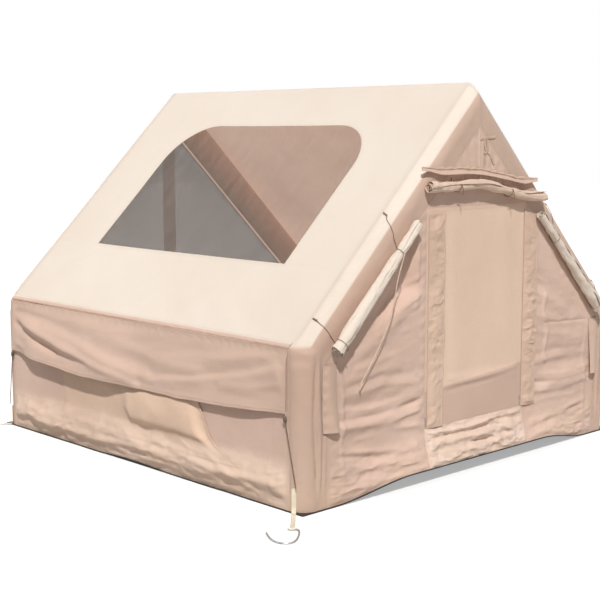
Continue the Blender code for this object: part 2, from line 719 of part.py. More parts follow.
def curtain_tie(name, side, part, lean):
    """A tie from a toggle on the sleeve's corner, down its face and round the roll."""
    along = CURTAIN_START + CURTAIN_LENGTH * part
    cord = TIE_RADIUS + SEAM_GAP
    ring = tie_ring(part, TIE_WRAP / CURTAIN_LENGTH, *curtain_sizes())
    half_toggle = TOGGLE_LENGTH / 2 / SLEEVE_RADIUS
    seat = (SLEEVE_RADIUS + TOGGLE_RADIUS + SEAM_GAP) / np.cos(half_toggle)
    bend = SLEEVE_RADIUS + cord + TIE_SLACK
    face = [(seat, TOGGLE_ANGLE + half_toggle, TOGGLE_RADIUS)]
    face += [(seat, TOGGLE_ANGLE - half_toggle, TOGGLE_RADIUS)]
    face += [(seat, TOGGLE_ANGLE - half_toggle - TIE_RADIUS / seat, TIE_RADIUS)]
    for angle in np.linspace(TOGGLE_ANGLE - 2 * half_toggle, 0, 5):
        face.append((bend, angle, TIE_RADIUS))
    centre_out = SLEEVE_RADIUS - CURTAIN_INSET
    centre_reach = SLEEVE_RADIUS + ROLL_STANDOFF + curtain_radius(part)
    route = [(far * np.cos(angle), far * np.sin(angle), r) for far, angle, r in face]
    route.append((SLEEVE_RADIUS + cord, centre_out, TIE_RADIUS))
    before = len(route)
    for angle in np.radians(30) + TIE_STEP * np.arange(13):
        reach = centre_reach - ring * np.cos(angle)
        route.append((reach, centre_out - ring * np.sin(angle), TIE_RADIUS))
    points, radii = [], []
    for i, (reach, out, radius) in enumerate(route):
        wrap = TIE_WRAP * (max(0, i - before) / (len(route) - 1 - before) - 0.5)
        fall = lean * (1 - min(i, before) / before) ** 0.7
        y = -BEAM_Y - reach
        points.append(slope_point(side, along + wrap + fall, y, out - SLEEVE_RADIUS))
        radii.append(radius)
    tube(name, points, radii, DARK_CORD, 1)


def leg_flap(name, side):
    """The cover over the zip beside a front leg, sewn at the top and loose below."""
    rows = 9
    x = np.linspace(LEG_FLAP_OUTER, LEG_FLAP_INNER, 5)
    part = np.linspace(0, 1, rows)[:, None]
    z = LEG_FLAP_BOTTOM + (LEG_FLAP_TOP - LEG_FLAP_BOTTOM) * part
    across = (x - LEG_FLAP_INNER) / (LEG_FLAP_OUTER - LEG_FLAP_INNER)
    lift = LEG_FLAP_LIFT * (1 - part) ** 1.5 * (0.5 + 0.5 * np.cos(np.pi * across))
    out = lift + LEG_FLAP_ARCH * np.sin(np.pi * across) * (1 - 0.6 * part)
    x, z, out = np.broadcast_arrays(x, z, out)
    front_sheet(name, side * x, z, out, WALL_CLOTH, True)


def apex_guy_loop():
    """A sewn bar below the peak with its hanging webbing and toggle."""
    top = rake_limit(0, SLEEVE_EDGE) - APEX_BAR_DROP
    low = BROW_BOTTOM + BROW_HEIGHT + SEAM_GAP - top
    (inner, outer), (left, right) = APEX_STRAPS
    outline = [*APEX_BAR, (outer, low), (inner, low), *APEX_CROTCH, (right, low), (left, low)]
    y = -HALF_DEPTH - SEAM_GAP
    ring = [(dx, y, top + dz) for dx, dz in [*outline, *APEX_HEEL]]
    prism("apex_guy_loop", ring, (0, -APEX_BAR_THICKNESS, 0), WEBBING)


def guy_cord():
    """A spare guy line that hangs from the left curtain's upper tie, against the wall."""
    part = CURTAIN_TIES[1]
    ring = tie_ring(part, TIE_WRAP / CURTAIN_LENGTH, *curtain_sizes())
    reach = ring * np.cos(TIE_STEP / 2) + TIE_RADIUS + CORD_RADIUS + SEAM_GAP
    start = curtain_centre(-1, CURTAIN_START + CURTAIN_LENGTH * part) - (0, reach, 0)
    route = [start + np.array(step) for step in GUY_LINE]
    tube("front_guy_cord", smooth_route(route, 46), CORD_RADIUS, WEBBING, 2)


# Rear gable


def rear_wall():
    """The rear wall with the band between its two mesh windows, in one outline."""
    band = REAR_BAND_WIDTH / 2
    inset = SLEEVE_EDGE + SEAM_GAP
    window = (rake_limit(0, inset) - REAR_WINDOW_BOTTOM) / TAN
    half = [(LEG_INNER, ON_FLOOR), (LEG_INNER, min(rake_limit(LEG_INNER, inset), REAR_WINDOW_BOTTOM))]
    if window < LEG_INNER:
        half.append((window, REAR_WINDOW_BOTTOM))
    half += [(band, REAR_WINDOW_BOTTOM), (band, rake_limit(band, inset))]
    outline = half + [(0, rake_limit(0, inset))] + [(-x, z) for x, z in reversed(half)]
    ring = [(x, HALF_DEPTH, z) for x, z in outline]
    prism("rear_wall", ring, (0, -CLOTH, 0), WALL_CLOTH)


def rear_mesh():
    inset = SLEEVE_EDGE - MESH_SEAM
    low = REAR_WINDOW_BOTTOM - MESH_SEAM
    top = rake_limit(0, inset)
    half = min((top - low) / TAN, LEG_INNER + MESH_SEAM)
    side = rake_limit(half, inset)
    outline = [(-half, low), (half, low)]
    if side > low + SEAM_GAP:
        outline += [(half, side), (0, top), (-half, side)]
    else:
        outline += [(0, top)]
    y = HALF_DEPTH - CLOTH - SEAM_GAP
    prism("rear_mesh_window", [(x, y, z) for x, z in outline], (0, -MESH_CLOTH, 0), MESH_NET)


# Side walls


def skirt(y, z):
    """The slack lower part of a side wall bulges outwards."""
    rise = np.clip((z - ON_FLOOR) / SKIRT_HEIGHT, 0, 1)
    ends = smoothstep(SIDE_HALF - np.abs(y), 0, SKIRT_END)
    wave = 1 + 0.25 * np.sin(y * 9 + 1)
    return SKIRT_BULGE * np.sin(np.pi * rise) * ends * wave


def side_sheet(name, side, y, z, out, look, origin=(0, 0, 0)):
    outer = np.stack([side * (HALF_WIDTH + out), y, z], axis=-1)
    inner = outer - (side * CLOTH, 0, 0)
    return sheet(name, outer, inner, look, origin)


def side_wall(name, side):
    y = np.linspace(-SIDE_HALF, SIDE_HALF, 15)
    low = np.linspace(ON_FLOOR, SKIRT_HEIGHT, 6)
    z = np.array([*low, EAVE_UNDERSIDE])[:, None]
    y, z = np.broadcast_arrays(y, z)
    return side_sheet(name, side, y, z, skirt(y, z), WALL_CLOTH)


def window_curtain(name, side):
    """The loose cover of a side window: a straight rear edge and a swept front edge."""
    part = np.linspace(0, 1, 9)[:, None]
    z = COVER_BOTTOM + (COVER_TOP - COVER_BOTTOM) * part
    front = COVER_SWEEP * part**0.55 - COVER_FRONT
    across = np.linspace(0, 1, 12)
    y = front + (COVER_REAR - front) * across
    z = np.broadcast_to(z, y.shape)
    slack = COVER_SLACK * smoothstep(1 - part, 0.04, 0.27)
    belly = folded(y, z, COVER_FOLDS) * edge_fade(across, 0.2) * edge_fade(part, 0.2)
    out = SEAM_GAP + CLOTH + skirt(y, z) + slack + belly
    return side_sheet(name, side, y, z, out, WALL_CLOTH)


def flap_bottom(y):
    ends = smoothstep(np.abs(y) / FLAP_HALF, 0.6, 0.93)
    return FLAP_BOTTOM - FLAP_SAG * np.cos(2.6 * y / FLAP_HALF) + FLAP_END_RISE * ends


def flap_stand(y, part):
    """How far a window flap's outer face stands off the wall plane. part is 0 at its bottom."""
    down = 1 - part
    ramp = FLAP_STEP * smoothstep(down, 0.02, 0.20)
    ends = smoothstep(1 - np.abs(y) / FLAP_HALF, 0, 0.21)
    swing = FLAP_STANDOFF * down**1.3 * (0.35 + 0.65 * ends)
    z = flap_bottom(y) + (FLAP_TOP - flap_bottom(y)) * part
    calm = smoothstep(down, 0, 0.25)
    return SEAM_GAP + CLOTH + ramp + swing + calm * folded(y, z, FLAP_FOLDS)


def window_flap(name, side):
    y = np.linspace(-FLAP_HALF, FLAP_HALF, 25)
    part = np.linspace(0, 1, 8)[:, None]
    z = flap_bottom(y) + (FLAP_TOP - flap_bottom(y)) * part
    out = flap_stand(y, part)
    y = np.broadcast_to(y, z.shape)
    hinge = (side * (HALF_WIDTH + SEAM_GAP + CLOTH / 2), 0, FLAP_TOP)
    return side_sheet(name, side, y, z, out, WALL_CLOTH, hinge)


def flap_cord_ends(side, end):
    """Where a flap's corner cord starts under the flap and ends above the corner loop."""
    corner = FLAP_HALF - FLAP_CORD_INSET
    out = flap_stand(corner, 0) - CLOTH / 2
    top_height = flap_bottom(corner) - SEAM_GAP - CORD_RADIUS / 3
    top = np.array([side * (HALF_WIDTH + out), end * corner, top_height])
    foot = HALF_DEPTH - FLAP_CORD_SETBACK
    height = LOOP_SEWN_HEIGHT + 2 * CORD_RADIUS
    bottom = np.array([side * (HALF_WIDTH + FLAP_CORD_STANDOFF), end * foot, height])
    return top, bottom


def flap_cord(name, side, end):
    top, bottom = flap_cord_ends(side, end)
    tube(name, [top, (top + bottom) / 2, bottom], CORD_RADIUS, DARK_CORD, 2)


def cord_lock(name, side, end):
    """A barrel lock that slides along a flap cord."""
    top, bottom = flap_cord_ends(side, end)
    line = (bottom - top) / np.linalg.norm(bottom - top)
    across = np.cross(line, (0, 1, 0))
    across = across / np.linalg.norm(across)
    third = np.cross(line, across)
    bore = CORD_RADIUS + LOCK_CLEARANCE
    start = top + line * LOCK_DROP
    profile = [(bore, 0), (LOCK_RADIUS * 0.8, 0), (LOCK_RADIUS, LOCK_CHAMFER)]
    profile += [(LOCK_RADIUS, LOCK_LENGTH - LOCK_CHAMFER), (LOCK_RADIUS * 0.8, LOCK_LENGTH)]
    profile += [(bore, LOCK_LENGTH)]
    segments = 12
    points = []
    for radius, along in profile:
        for angle in np.linspace(0, 2 * np.pi, segments, endpoint=False):
            spoke = across * np.cos(angle) + third * np.sin(angle)
            points.append(start + line * along + spoke * radius)
    faces = []
    rings = len(profile)
    for ring in range(rings):
        for i in range(segments):
            after = (i + 1) % segments
            low, high = ring * segments, (ring + 1) % rings * segments
            faces.append([low + i, low + after, high + after, high + i])
    solid(name, points, faces, DARK_PLASTIC, tuple(start), True)


# Ground


def groundsheet():
    walls = wall_columns()
    edge = HALF_WIDTH + FLOOR_MARGIN
    x = np.array([-edge, *-walls, *sill_columns(), *walls[::-1], edge])[:, None]
    front = -HALF_DEPTH - FLOOR_MARGIN - SILL_REACH * hem_part(x)
    back = np.full_like(front, HALF_DEPTH + FLOOR_MARGIN)
    fall = np.array([0, 0.17, 0.40, 0.70, 1.0])
    y = np.concatenate([front + FLOOR_LIFT_DEPTH * fall, (front + back) / 2, back], axis=1)
    lift = HEM_RISE * hem_part(x) * smoothstep(front + FLOOR_LIFT_DEPTH - y, 0, FLOOR_LIFT_DEPTH)
    x = np.broadcast_to(x, y.shape)
    lower = np.stack([x, y, lift], axis=-1)
    return sheet("groundsheet", lower + (0, 0, FLOOR_CLOTH), lower, FLOOR_SHEET)


def corner_frame(side, end):
    """The corner's diagonal, the level direction across it, and a start on the beam's foot."""
    out = np.array([side, end, 0]) / np.sqrt(2)
    across = np.cross(out, (0, 0, 1)) * side * end
    foot = np.array([side * EAVE_CORNER[0], end * BEAM_Y, 0])
    return out, across, foot + across * LOOP_OFFSET


def peg_eye_centre():
    """Distance out along the corner's diagonal, and height, of the wire in the loop's eye."""
    eye = PEG_RADIUS + EYE_CLEARANCE + LOOP_WEBBING / 2
    return LOOP_REACH, LOOP_WEBBING / 2 + eye, eye


def peg_loop(name, side, end):
    """A webbing strap from the corner of the tent to the ground, with an eye for the peg."""
    out, across, base = corner_frame(side, end)
    leg = np.sqrt(SLEEVE_RADIUS**2 - (LOOP_OFFSET - LOOP_WIDTH / 2) ** 2)
    start = leg + SEAM_GAP + LOOP_WEBBING / 2
    floor_corner = np.sqrt(2) * (SLEEVE_RADIUS + FLOOR_MARGIN)
    rest = ON_FLOOR + LOOP_WEBBING / 2
    reach, eye_height, eye = peg_eye_centre()
    reach = reach + SLEEVE_RADIUS
    path = [(start, LOOP_SEWN_HEIGHT), (start, rest + 3 * LOOP_BEND)]
    path += [(start + 0.6 * LOOP_BEND, rest + LOOP_BEND), (start + 1.6 * LOOP_BEND, rest)]
    path += [(floor_corner + LOOP_BEND / 2, rest)]
    path += [(floor_corner + 2.5 * LOOP_BEND, LOOP_WEBBING / 2)]
    path += [(reach - 2 * LOOP_BEND, LOOP_WEBBING / 2)]
    for angle in np.radians(np.linspace(-90, 215, 10)):
        path.append((reach + eye * np.cos(angle), eye_height + eye * np.sin(angle)))
    path = np.array(path)
    step = np.gradient(path, axis=0)
    step = step / np.linalg.norm(step, axis=1, keepdims=True)
    normal = np.stack([-step[:, 1], step[:, 0]], axis=1) * LOOP_WEBBING / 2
    width = across * LOOP_WIDTH / 2
    faces_of = []
    for shift in (normal, -normal):
        line = path + shift
        ring = [base + out * r + np.array([0, 0, z]) for r, z in line]
        faces_of.append(np.array([[point - width, point + width] for point in ring]))
    return sheet(name, faces_of[0], faces_of[1], WEBBING)


def tent_peg(name, side, end):
    """A steel wire peg bent to a hook, lying on the ground with its hook in the loop's eye."""
    out, across, base = corner_frame(side, end)
    reach, height, _ = peg_eye_centre()
    reach = reach + SLEEVE_RADIUS
    low = PEG_RADIUS + PEG_CLEARANCE
    route = []
    for along, aside, raised in PEG_WIRE:
        centre = base + out * (reach + along) + across * aside
        route.append(centre + (0, 0, low + (height - low) * raised))
    tube(name, [route[0], *smooth_route(route[1:], 20)], PEG_RADIUS, STEEL, 1)


def build():
    for name, end in (("front", -1), ("rear", 1)):
        gable_beam(f"{name}_air_beam", end)
        for side_name, side in (("left", -1), ("right", 1)):
            beam_sleeve(f"{name}_{side_name}_sleeve", side, end)
            peg_loop(f"{name}_{side_name}_peg_loop", side, end)
            tent_peg(f"{name}_{side_name}_peg", side, end)
            flap_cord(f"{name}_{side_name}_flap_cord", side, end)
            cord_lock(f"{name}_{side_name}_cord_lock", side, end)
    for side_name, side in (("left", -1), ("right", 1)):
        roof_panel(f"{side_name}_roof_panel", side)
        side_wall(f"{side_name}_side_wall", side)
        window_curtain(f"{side_name}_window_curtain", side)
        window_flap(f"{side_name}_window_flap", side)
        front_wall(f"{side_name}_front_wall", side)
        door_flap(f"{side_name}_door_flap", side)
        zip_slider(f"{side_name}_zip_slider", side)
        curtain_roll(f"{side_name}_curtain_roll", side)
        for tie_name, part, lean in zip(("lower", "upper"), CURTAIN_TIES, TIE_LEAN):
            curtain_tie(f"{side_name}_{tie_name}_curtain_tie", side, part, lean)
        leg_flap(f"{side_name}_leg_flap", side)
    for side_name, x in zip(("left", "right"), AWNING_TIES):
        awning_tie(f"{side_name}_awning_tie", x)
    ridge_beam()
    valve()
    skylight()
    door()
    door_sill()
    gable_peak("front_gable_peak")
    brow()
    awning_roll()
    apex_guy_loop()
    guy_cord()
    rear_wall()
    rear_mesh()
    groundsheet()


build()
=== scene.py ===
import bmesh
import bpy
import numpy as np
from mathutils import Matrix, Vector


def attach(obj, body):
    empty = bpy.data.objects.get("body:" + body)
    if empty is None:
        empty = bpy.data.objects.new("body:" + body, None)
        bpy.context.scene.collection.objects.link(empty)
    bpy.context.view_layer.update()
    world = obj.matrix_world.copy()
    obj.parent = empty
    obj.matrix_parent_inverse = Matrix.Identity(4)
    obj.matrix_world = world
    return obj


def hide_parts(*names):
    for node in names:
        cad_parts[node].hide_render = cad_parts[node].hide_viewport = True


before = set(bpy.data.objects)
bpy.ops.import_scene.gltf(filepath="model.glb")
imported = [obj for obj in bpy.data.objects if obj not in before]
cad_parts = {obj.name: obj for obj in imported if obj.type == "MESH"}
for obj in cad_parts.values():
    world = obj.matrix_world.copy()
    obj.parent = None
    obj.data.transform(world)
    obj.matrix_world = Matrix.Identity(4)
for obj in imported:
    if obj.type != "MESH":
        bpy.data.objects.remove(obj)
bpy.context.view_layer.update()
scene = bpy.context.scene
print("frame loaded")

tent = {
    "width": 2.50,
    "depth": 2.58,
    "eave": 0.77,
    "ridge": 2.00,
    "cloth": 0.0014,
    "room": 0.003,  # how thick the solid stand-in of the cloth is
    "gap": 0.0003,
    "beam": 0.085,
    "band": 0.07,
    "floorCloth": 0.006,
}
halfWidth, halfDepth = tent["width"] / 2, tent["depth"] / 2
pitch = np.arctan2(tent["ridge"] - tent["eave"], halfWidth)
cosPitch, sinPitch, tanPitch = np.cos(pitch), np.sin(pitch), np.tan(pitch)
slopeLength = halfWidth / cosPitch
sleeveRadius = tent["room"] + tent["gap"] + tent["beam"]
sleeveEdge = sleeveRadius + tent["band"]
onFloor = tent["floorCloth"] + tent["gap"]
beamY = halfDepth - sleeveRadius
sideHalf = beamY - tent["gap"]
legInner = halfWidth - sleeveEdge - tent["gap"]
eaveCorner = np.array([halfWidth - sleeveRadius, tent["eave"] - sleeveRadius * cosPitch / (1 + sinPitch)])
apexCorner = np.array([0, tent["ridge"] - sleeveRadius / cosPitch])
bothSides = (("left", -1), ("right", 1))
bothEnds = (("front", -1), ("rear", 1))
eaveUnderside = tent["eave"] - tent["room"] / cosPitch - tent["gap"]


# Camera: solved from the roof's and the gable's edges

view = {"place": (-5.08, -5.28, 1.74), "azimuth": -43.7, "elevation": 7.6, "lens": 74.76}
turn, tip = np.radians(view["azimuth"]), np.radians(view["elevation"])
back = Vector((np.sin(turn) * np.cos(tip), -np.cos(turn) * np.cos(tip), np.sin(tip)))
cameraData = bpy.data.cameras.new("camera")
cameraData.lens = view["lens"]
cameraData.sensor_width = 36
camera = bpy.data.objects.new("camera", cameraData)
camera.location = view["place"]
camera.rotation_euler = (-back).to_track_quat("-Z", "Y").to_euler()
scene.collection.objects.link(camera)
scene.camera = camera


# Shapes worked out on whole arrays


def smooth(value, low, high):
    # 0 below low, 1 above high, an S curve between
    t = np.clip((value - low) / (high - low), 0, 1)
    return t * t * (3 - 2 * t)


def bump(value, middle, spread):
    # a bell of height 1 round the middle
    return np.exp(-(((value - middle) / spread) ** 2))


def edgeFade(part, margin):
    return smooth(np.minimum(part, 1 - part), 0, margin)


def noise(x, y, seed=0, octaves=3, rough=0.5):
    # value noise from -1 to 1: hashed lattice corners blended by S curves, octaves added up
    total, size, weight = 0, 1.0, 1.0
    for octave in range(octaves):
        u, v = np.asarray(x * size + 13.7 * octave, float), np.asarray(y * size - 7.3 * octave, float)
        i, j = np.floor(u), np.floor(v)
        a, b = u - i, v - j
        a, b = a * a * (3 - 2 * a), b * b * (3 - 2 * b)

        def corner(di, dj):
            mixed = np.sin((i + di) * 127.1 + (j + dj) * 311.7 + (seed + octave) * 74.7) * 43758.5453
            return mixed - np.floor(mixed)

        low = corner(0, 0) * (1 - a) + corner(1, 0) * a
        high = corner(0, 1) * (1 - a) + corner(1, 1) * a
        total = total + weight * (low * (1 - b) + high * b)
        size, weight = size * 2.03, weight * rough
    return total / ((1 - rough**octaves) / (1 - rough)) * 2 - 1


def crests(x, y, seed):
    # crumples from -0.4 to 1: sharp where the noise crosses 0
    return np.maximum(1 - np.abs(noise(x, y, seed, 3)) * 2.2, -0.4)


def fold(x, z, line, width, height, side=0.0):
    # a soft ridge along a bent line: a bell of the distance to the nearest stretch of the line,
    # narrower on its sharp side and fading at the ends; side leans it, above 0 towards +z
    line = np.asarray(line, float)
    runs = np.linalg.norm(np.diff(line, axis=0), axis=1)
    walked, whole = np.concatenate([[0], np.cumsum(runs)]), runs.sum()
    best = np.full(np.shape(x), 1e9)
    place = np.zeros(np.shape(x))
    above = np.zeros(np.shape(x))
    for start, end, run, before in zip(line, line[1:], runs, walked):
        way = (end - start) / run
        along = np.clip((x - start[0]) * way[0] + (z - start[1]) * way[1], 0, run)
        dx, dz = x - start[0] - along * way[0], z - start[1] - along * way[1]
        away = np.hypot(dx, dz)
        nearer = away < best
        best = np.where(nearer, away, best)
        place = np.where(nearer, (before + along) / whole, place)
        above = np.where(nearer, np.sign(dz * way[0] - dx * way[1]) * np.sign(way[0] + 1e-9), above)
    spread = width * (1 + side * above)
    ends = 0.25 + 0.75 * np.sin(np.pi * np.clip(0.08 + 0.84 * place, 0, 1)) ** 0.7
    return height * np.exp(-((best / spread) ** 2)) * ends


def folds(x, z, rows):
    return sum(fold(x, z, *row) for row in rows)


def rakeLimit(x, inset):
    # height of the line that runs under the roof slope at this distance from it
    return tent["ridge"] - np.abs(x) * tanPitch - inset / cosPitch


def slopePoint(side, along, y, out):
    # a point on a roof slope from its distance up from the eave, place along the tent and height off it
    x = halfWidth - along * cosPitch + out * sinPitch
    z = tent["eave"] + along * sinPitch + out * cosPitch
    return np.stack(np.broadcast_arrays(side * x, y, z), axis=-1)


def unit(vectors):
    return vectors / np.maximum(np.linalg.norm(vectors, axis=-1, keepdims=True), 1e-12)


def gridNormals(points):
    # square on to the grid: the cross product of its two directions
    return unit(np.cross(np.gradient(points, axis=1), np.gradient(points, axis=0)))


def smoothRoute(points, count):
    # evenly spaced points on a smooth curve through the given ones
    points = np.asarray(points, float)
    padded = np.concatenate([[2 * points[0] - points[1]], points, [2 * points[-1] - points[-2]]])
    t = np.linspace(0, 1, 24, endpoint=False)[:, None]
    fine = []
    for a, b, c, d in zip(padded, padded[1:], padded[2:], padded[3:]):
        bend = 2 * b + (c - a) * t + (2 * a - 5 * b + 4 * c - d) * t**2
        fine.append((bend + (3 * b - a - 3 * c + d) * t**3) / 2)
    return spaced(np.concatenate([*fine, points[-1:]]), count)


def walkedAlong(path):
    # how far along the path each of its points is
    return np.concatenate([[0], np.cumsum(np.linalg.norm(np.diff(path, axis=0), axis=1))])


def spaced(line, count):
    # the same line with this many points, evenly spaced along it
    line = np.asarray(line, float)
    walked = walkedAlong(line)
    wanted = np.linspace(0, walked[-1], count)
    return np.stack([np.interp(wanted, walked, line[:, k]) for k in range(3)], axis=1)


def rounded(corners, radii, steps):
    # a line through the corners, each turned into an arc of its radius
    corners = np.asarray(corners, float)
    path = [corners[0]]
    for before, corner, after, radius in zip(corners, corners[1:], corners[2:], radii):
        toBack, toAhead = unit(before - corner), unit(after - corner)
        half = np.arccos(np.clip(toBack @ toAhead, -1, 1)) / 2
        centre = corner + unit(toBack + toAhead) * radius / np.sin(half)
        start, end = (corner + toBack * radius / np.tan(half) - centre,
                      corner + toAhead * radius / np.tan(half) - centre)
        angle = np.pi - 2 * half
        for t in np.linspace(0, 1, steps):
            path.append(centre + (np.sin((1 - t) * angle) * start + np.sin(t * angle) * end) / np.sin(angle))
    return np.array([*path, corners[-1]])


# Meshes

sharpAngle = np.radians(42)


def newMesh(name, points, faces, look, uv=None, smoothFaces=True, edge=None, lined=0, tone=None):
    # points as (n, 3), faces as lists of equal-sided index arrays, uv in metres for each point
    mesh = bpy.data.meshes.new(name)
    points = np.asarray(points, float).reshape(-1, 3)
    faces = [np.asarray(group) for group in faces if len(group)]
    loops = np.concatenate([group.ravel() for group in faces])
    sizes = np.concatenate([np.full(len(group), group.shape[1]) for group in faces])
    mesh.vertices.add(len(points))
    mesh.vertices.foreach_set("co", points.astype(np.float32).ravel())
    mesh.loops.add(len(loops))
    mesh.loops.foreach_set("vertex_index", loops.astype(np.int32))
    mesh.polygons.add(len(sizes))
    mesh.polygons.foreach_set("loop_start", np.concatenate([[0], np.cumsum(sizes)[:-1]]).astype(np.int32))
    mesh.polygons.foreach_set("loop_total", sizes.astype(np.int32))
    mesh.update(calc_edges=True)
    if uv is not None:
        layer = mesh.uv_layers.new(name="UVMap")
        layer.data.foreach_set("uv", np.asarray(uv, float).reshape(-1, 2)[loops].astype(np.float32).ravel())
    for label, values in (("edgeAway", edge), ("tone", tone)):
        if values is not None:
            attribute = mesh.attributes.new(label, "FLOAT", "POINT")
            attribute.data.foreach_set("value", np.asarray(values, np.float32).ravel())
    mesh.materials.append(look)
    if lined:
        # the faces on the inner side take the lining's material
        mesh.materials.append(lining)
        which = np.zeros(len(sizes), np.int32)
        which[lined[0] : lined[1]] = 1
        mesh.polygons.foreach_set("material_index", which)
    mesh.validate()
    if smoothFaces:
        mesh.shade_smooth()
        mesh.set_sharp_from_angle(angle=sharpAngle)
    made = bpy.data.objects.new(name, mesh)
    scene.collection.objects.link(made)
    return made


def quads(index):
    # the four corners of each cell of a grid of point numbers
    return np.stack([index[:-1, :-1], index[1:, :-1], index[1:, 1:], index[:-1, 1:]], axis=-1).reshape(-1, 4)


def numbered(points):
    # the point numbers of a grid of points, row by row
    return np.arange(points[..., 0].size).reshape(points.shape[:2])


def gridUv(points):
    # metres along the grid's rows and columns, measured on the cloth itself
    rows, columns = points.shape[:2]
    stepsAcross = np.linalg.norm(np.diff(points, axis=1), axis=2)
    stepsAlong = np.linalg.norm(np.diff(points, axis=0), axis=2)
    across = np.concatenate([np.zeros((rows, 1)), np.cumsum(stepsAcross, axis=1)], axis=1)
    along = np.concatenate([np.zeros((1, columns)), np.cumsum(stepsAlong, axis=0)], axis=0)
    return np.stack([across, along], axis=-1)


def gridEdge(uv):
    # distance of each grid point from the nearest edge of its sheet
    u, v = uv[..., 0], uv[..., 1]
    return np.minimum(np.minimum(u, u[:, -1:] - u), np.minimum(v, v[-1:] - v))


def clothSheet(name, outer, look, thick=None, hole=None, facing=None, lined=False, tone=None):
    # a closed sheet: the outer grid, the same grid a cloth's thickness behind it, and a rim between
    # them. hole marks the cells that are cut out. facing is a rough outward direction
    thick = tent["cloth"] if thick is None else thick
    normal = gridNormals(outer)
    if facing is not None and (normal.reshape(-1, 3) @ np.asarray(facing, float)).mean() < 0:
        outer = outer[:, ::-1]
        normal = -normal[:, ::-1]
        hole = None if hole is None else hole[:, ::-1]
        tone = None if tone is None else tone[:, ::-1]
    inner = outer - normal * thick
    rows, columns = outer.shape[:2]
    index = numbered(outer)
    keep = np.ones((rows - 1, columns - 1), bool) if hole is None else ~hole
    cells = np.stack([index[:-1, :-1], index[:-1, 1:], index[1:, 1:], index[1:, :-1]], axis=-1)[keep]
    sides = np.concatenate([cells[:, [k, (k + 1) % 4]] for k in range(4)])
    pairs = {(a, b) for a, b in sides.tolist()}
    rim = np.array([(a, b) for a, b in pairs if (b, a) not in pairs])
    count = rows * columns
    uv = gridUv(outer)
    points = np.concatenate([outer.reshape(-1, 3), inner.reshape(-1, 3)])
    flatUv = np.concatenate([uv.reshape(-1, 2)] * 2)
    edge = np.concatenate([gridEdge(uv).ravel()] * 2)
    walls = np.stack([rim[:, 1], rim[:, 0], rim[:, 0] + count, rim[:, 1] + count], axis=1)
    faces = np.concatenate([cells, cells[:, ::-1] + count, walls])
    used = np.unique(faces)
    renumber = np.zeros(2 * count, int)
    renumber[used] = np.arange(len(used))
    inside = (len(cells), 2 * len(cells)) if lined else 0
    tone = None if tone is None else np.concatenate([tone.ravel()] * 2)[used]
    return newMesh(name, points[used], [renumber[faces]], look, flatUv[used], edge=edge[used], lined=inside,
                   tone=tone)


def carried(path, profile):
    # a profile of (across, up) pairs carried along a path: at each point it stands square to the
    # path, kept from twisting by sliding one frame along. Profile may change: (points, corners, 2)
    path = np.asarray(path, float)
    way = unit(np.gradient(path, axis=0))
    side = np.cross(way[0], (0, 0, 1.0))
    if np.linalg.norm(side) < 1e-6:
        side = np.cross(way[0], (1.0, 0, 0))
    side = unit(side)
    sides = []
    for step in way:
        side = unit(side - step * (side @ step))
        sides.append(side)
    sides = np.array(sides)
    ups = np.cross(sides, way)
    profile = np.broadcast_to(profile, (len(path), *np.shape(profile)[-2:]))
    return path[:, None] + profile[..., :1] * sides[:, None] + profile[..., 1:] * ups[:, None]


def ringTube(name, rings, look):
    # a closed tube through rings of points, (rings, corners, 3), with a point in the middle of each end
    count, corners = rings.shape[:2]
    around = np.linalg.norm(np.roll(rings, -1, axis=1) - rings, axis=2).sum(axis=1).mean()
    middle = rings.mean(axis=1)
    walked = walkedAlong(middle)
    u = np.linspace(0, around, corners + 1)
    # a doubled first column keeps the UV seam clean
    points = np.concatenate([rings, rings[:, :1]], axis=1).reshape(-1, 3)
    index = np.arange(count * (corners + 1)).reshape(count, corners + 1)
    uv = np.stack(np.broadcast_arrays(u[None, :], walked[:, None]), axis=-1).reshape(-1, 2)
    faces = quads(index)
    ends = np.concatenate([points, middle[:1], middle[-1:]])
    uv = np.concatenate([uv, [[0, 0]], [[0, walked[-1]]]])
    first, last = len(points), len(points) + 1
    capA = np.stack([index[0, 1:], index[0, :-1], np.full(corners, first)], axis=1)[:, ::-1]
    capB = np.stack([index[-1, :-1], index[-1, 1:], np.full(corners, last)], axis=1)[:, ::-1]
    made = newMesh(name, ends, [faces, capA, capB], look, uv)
    return closedUp(made)


def closedUp(made):
    # merges doubled points and turns the faces outward, keeping the UV map
    work = bmesh.new()
    work.from_mesh(made.data)
    bmesh.ops.remove_doubles(work, verts=work.verts, dist=1e-6)
    bmesh.ops.recalc_face_normals(work, faces=work.faces)
    work.to_mesh(made.data)
    work.free()
    made.data.shade_smooth()
    made.data.set_sharp_from_angle(angle=sharpAngle)
    return made


def roundProfile(angles, size):
    # a circle as (across, up) pairs, its radius free to change round it and from ring to ring
    return np.stack([np.cos(angles) * size, np.sin(angles) * size], axis=-1)


def cordTube(name, path, radius, look, corners=10, strands=0, lay=0.02):
    # a round or laid cord: a circle carried along the path, with a bead for each strand that
    # turns once in every lay metres
    path = np.asarray(path, float)
    walked = walkedAlong(path)
    angles = np.linspace(0, 2 * np.pi, corners, endpoint=False)
    size = np.broadcast_to(radius, len(path))[:, None] * np.ones(corners)
    if strands:
        turned = angles[None] + walked[:, None] * 2 * np.pi / lay
        size = size * (0.94 + 0.06 * np.abs(np.cos(strands / 2 * turned)))
    profile = roundProfile(angles, size)
    return ringTube(name, carried(path, profile), look)


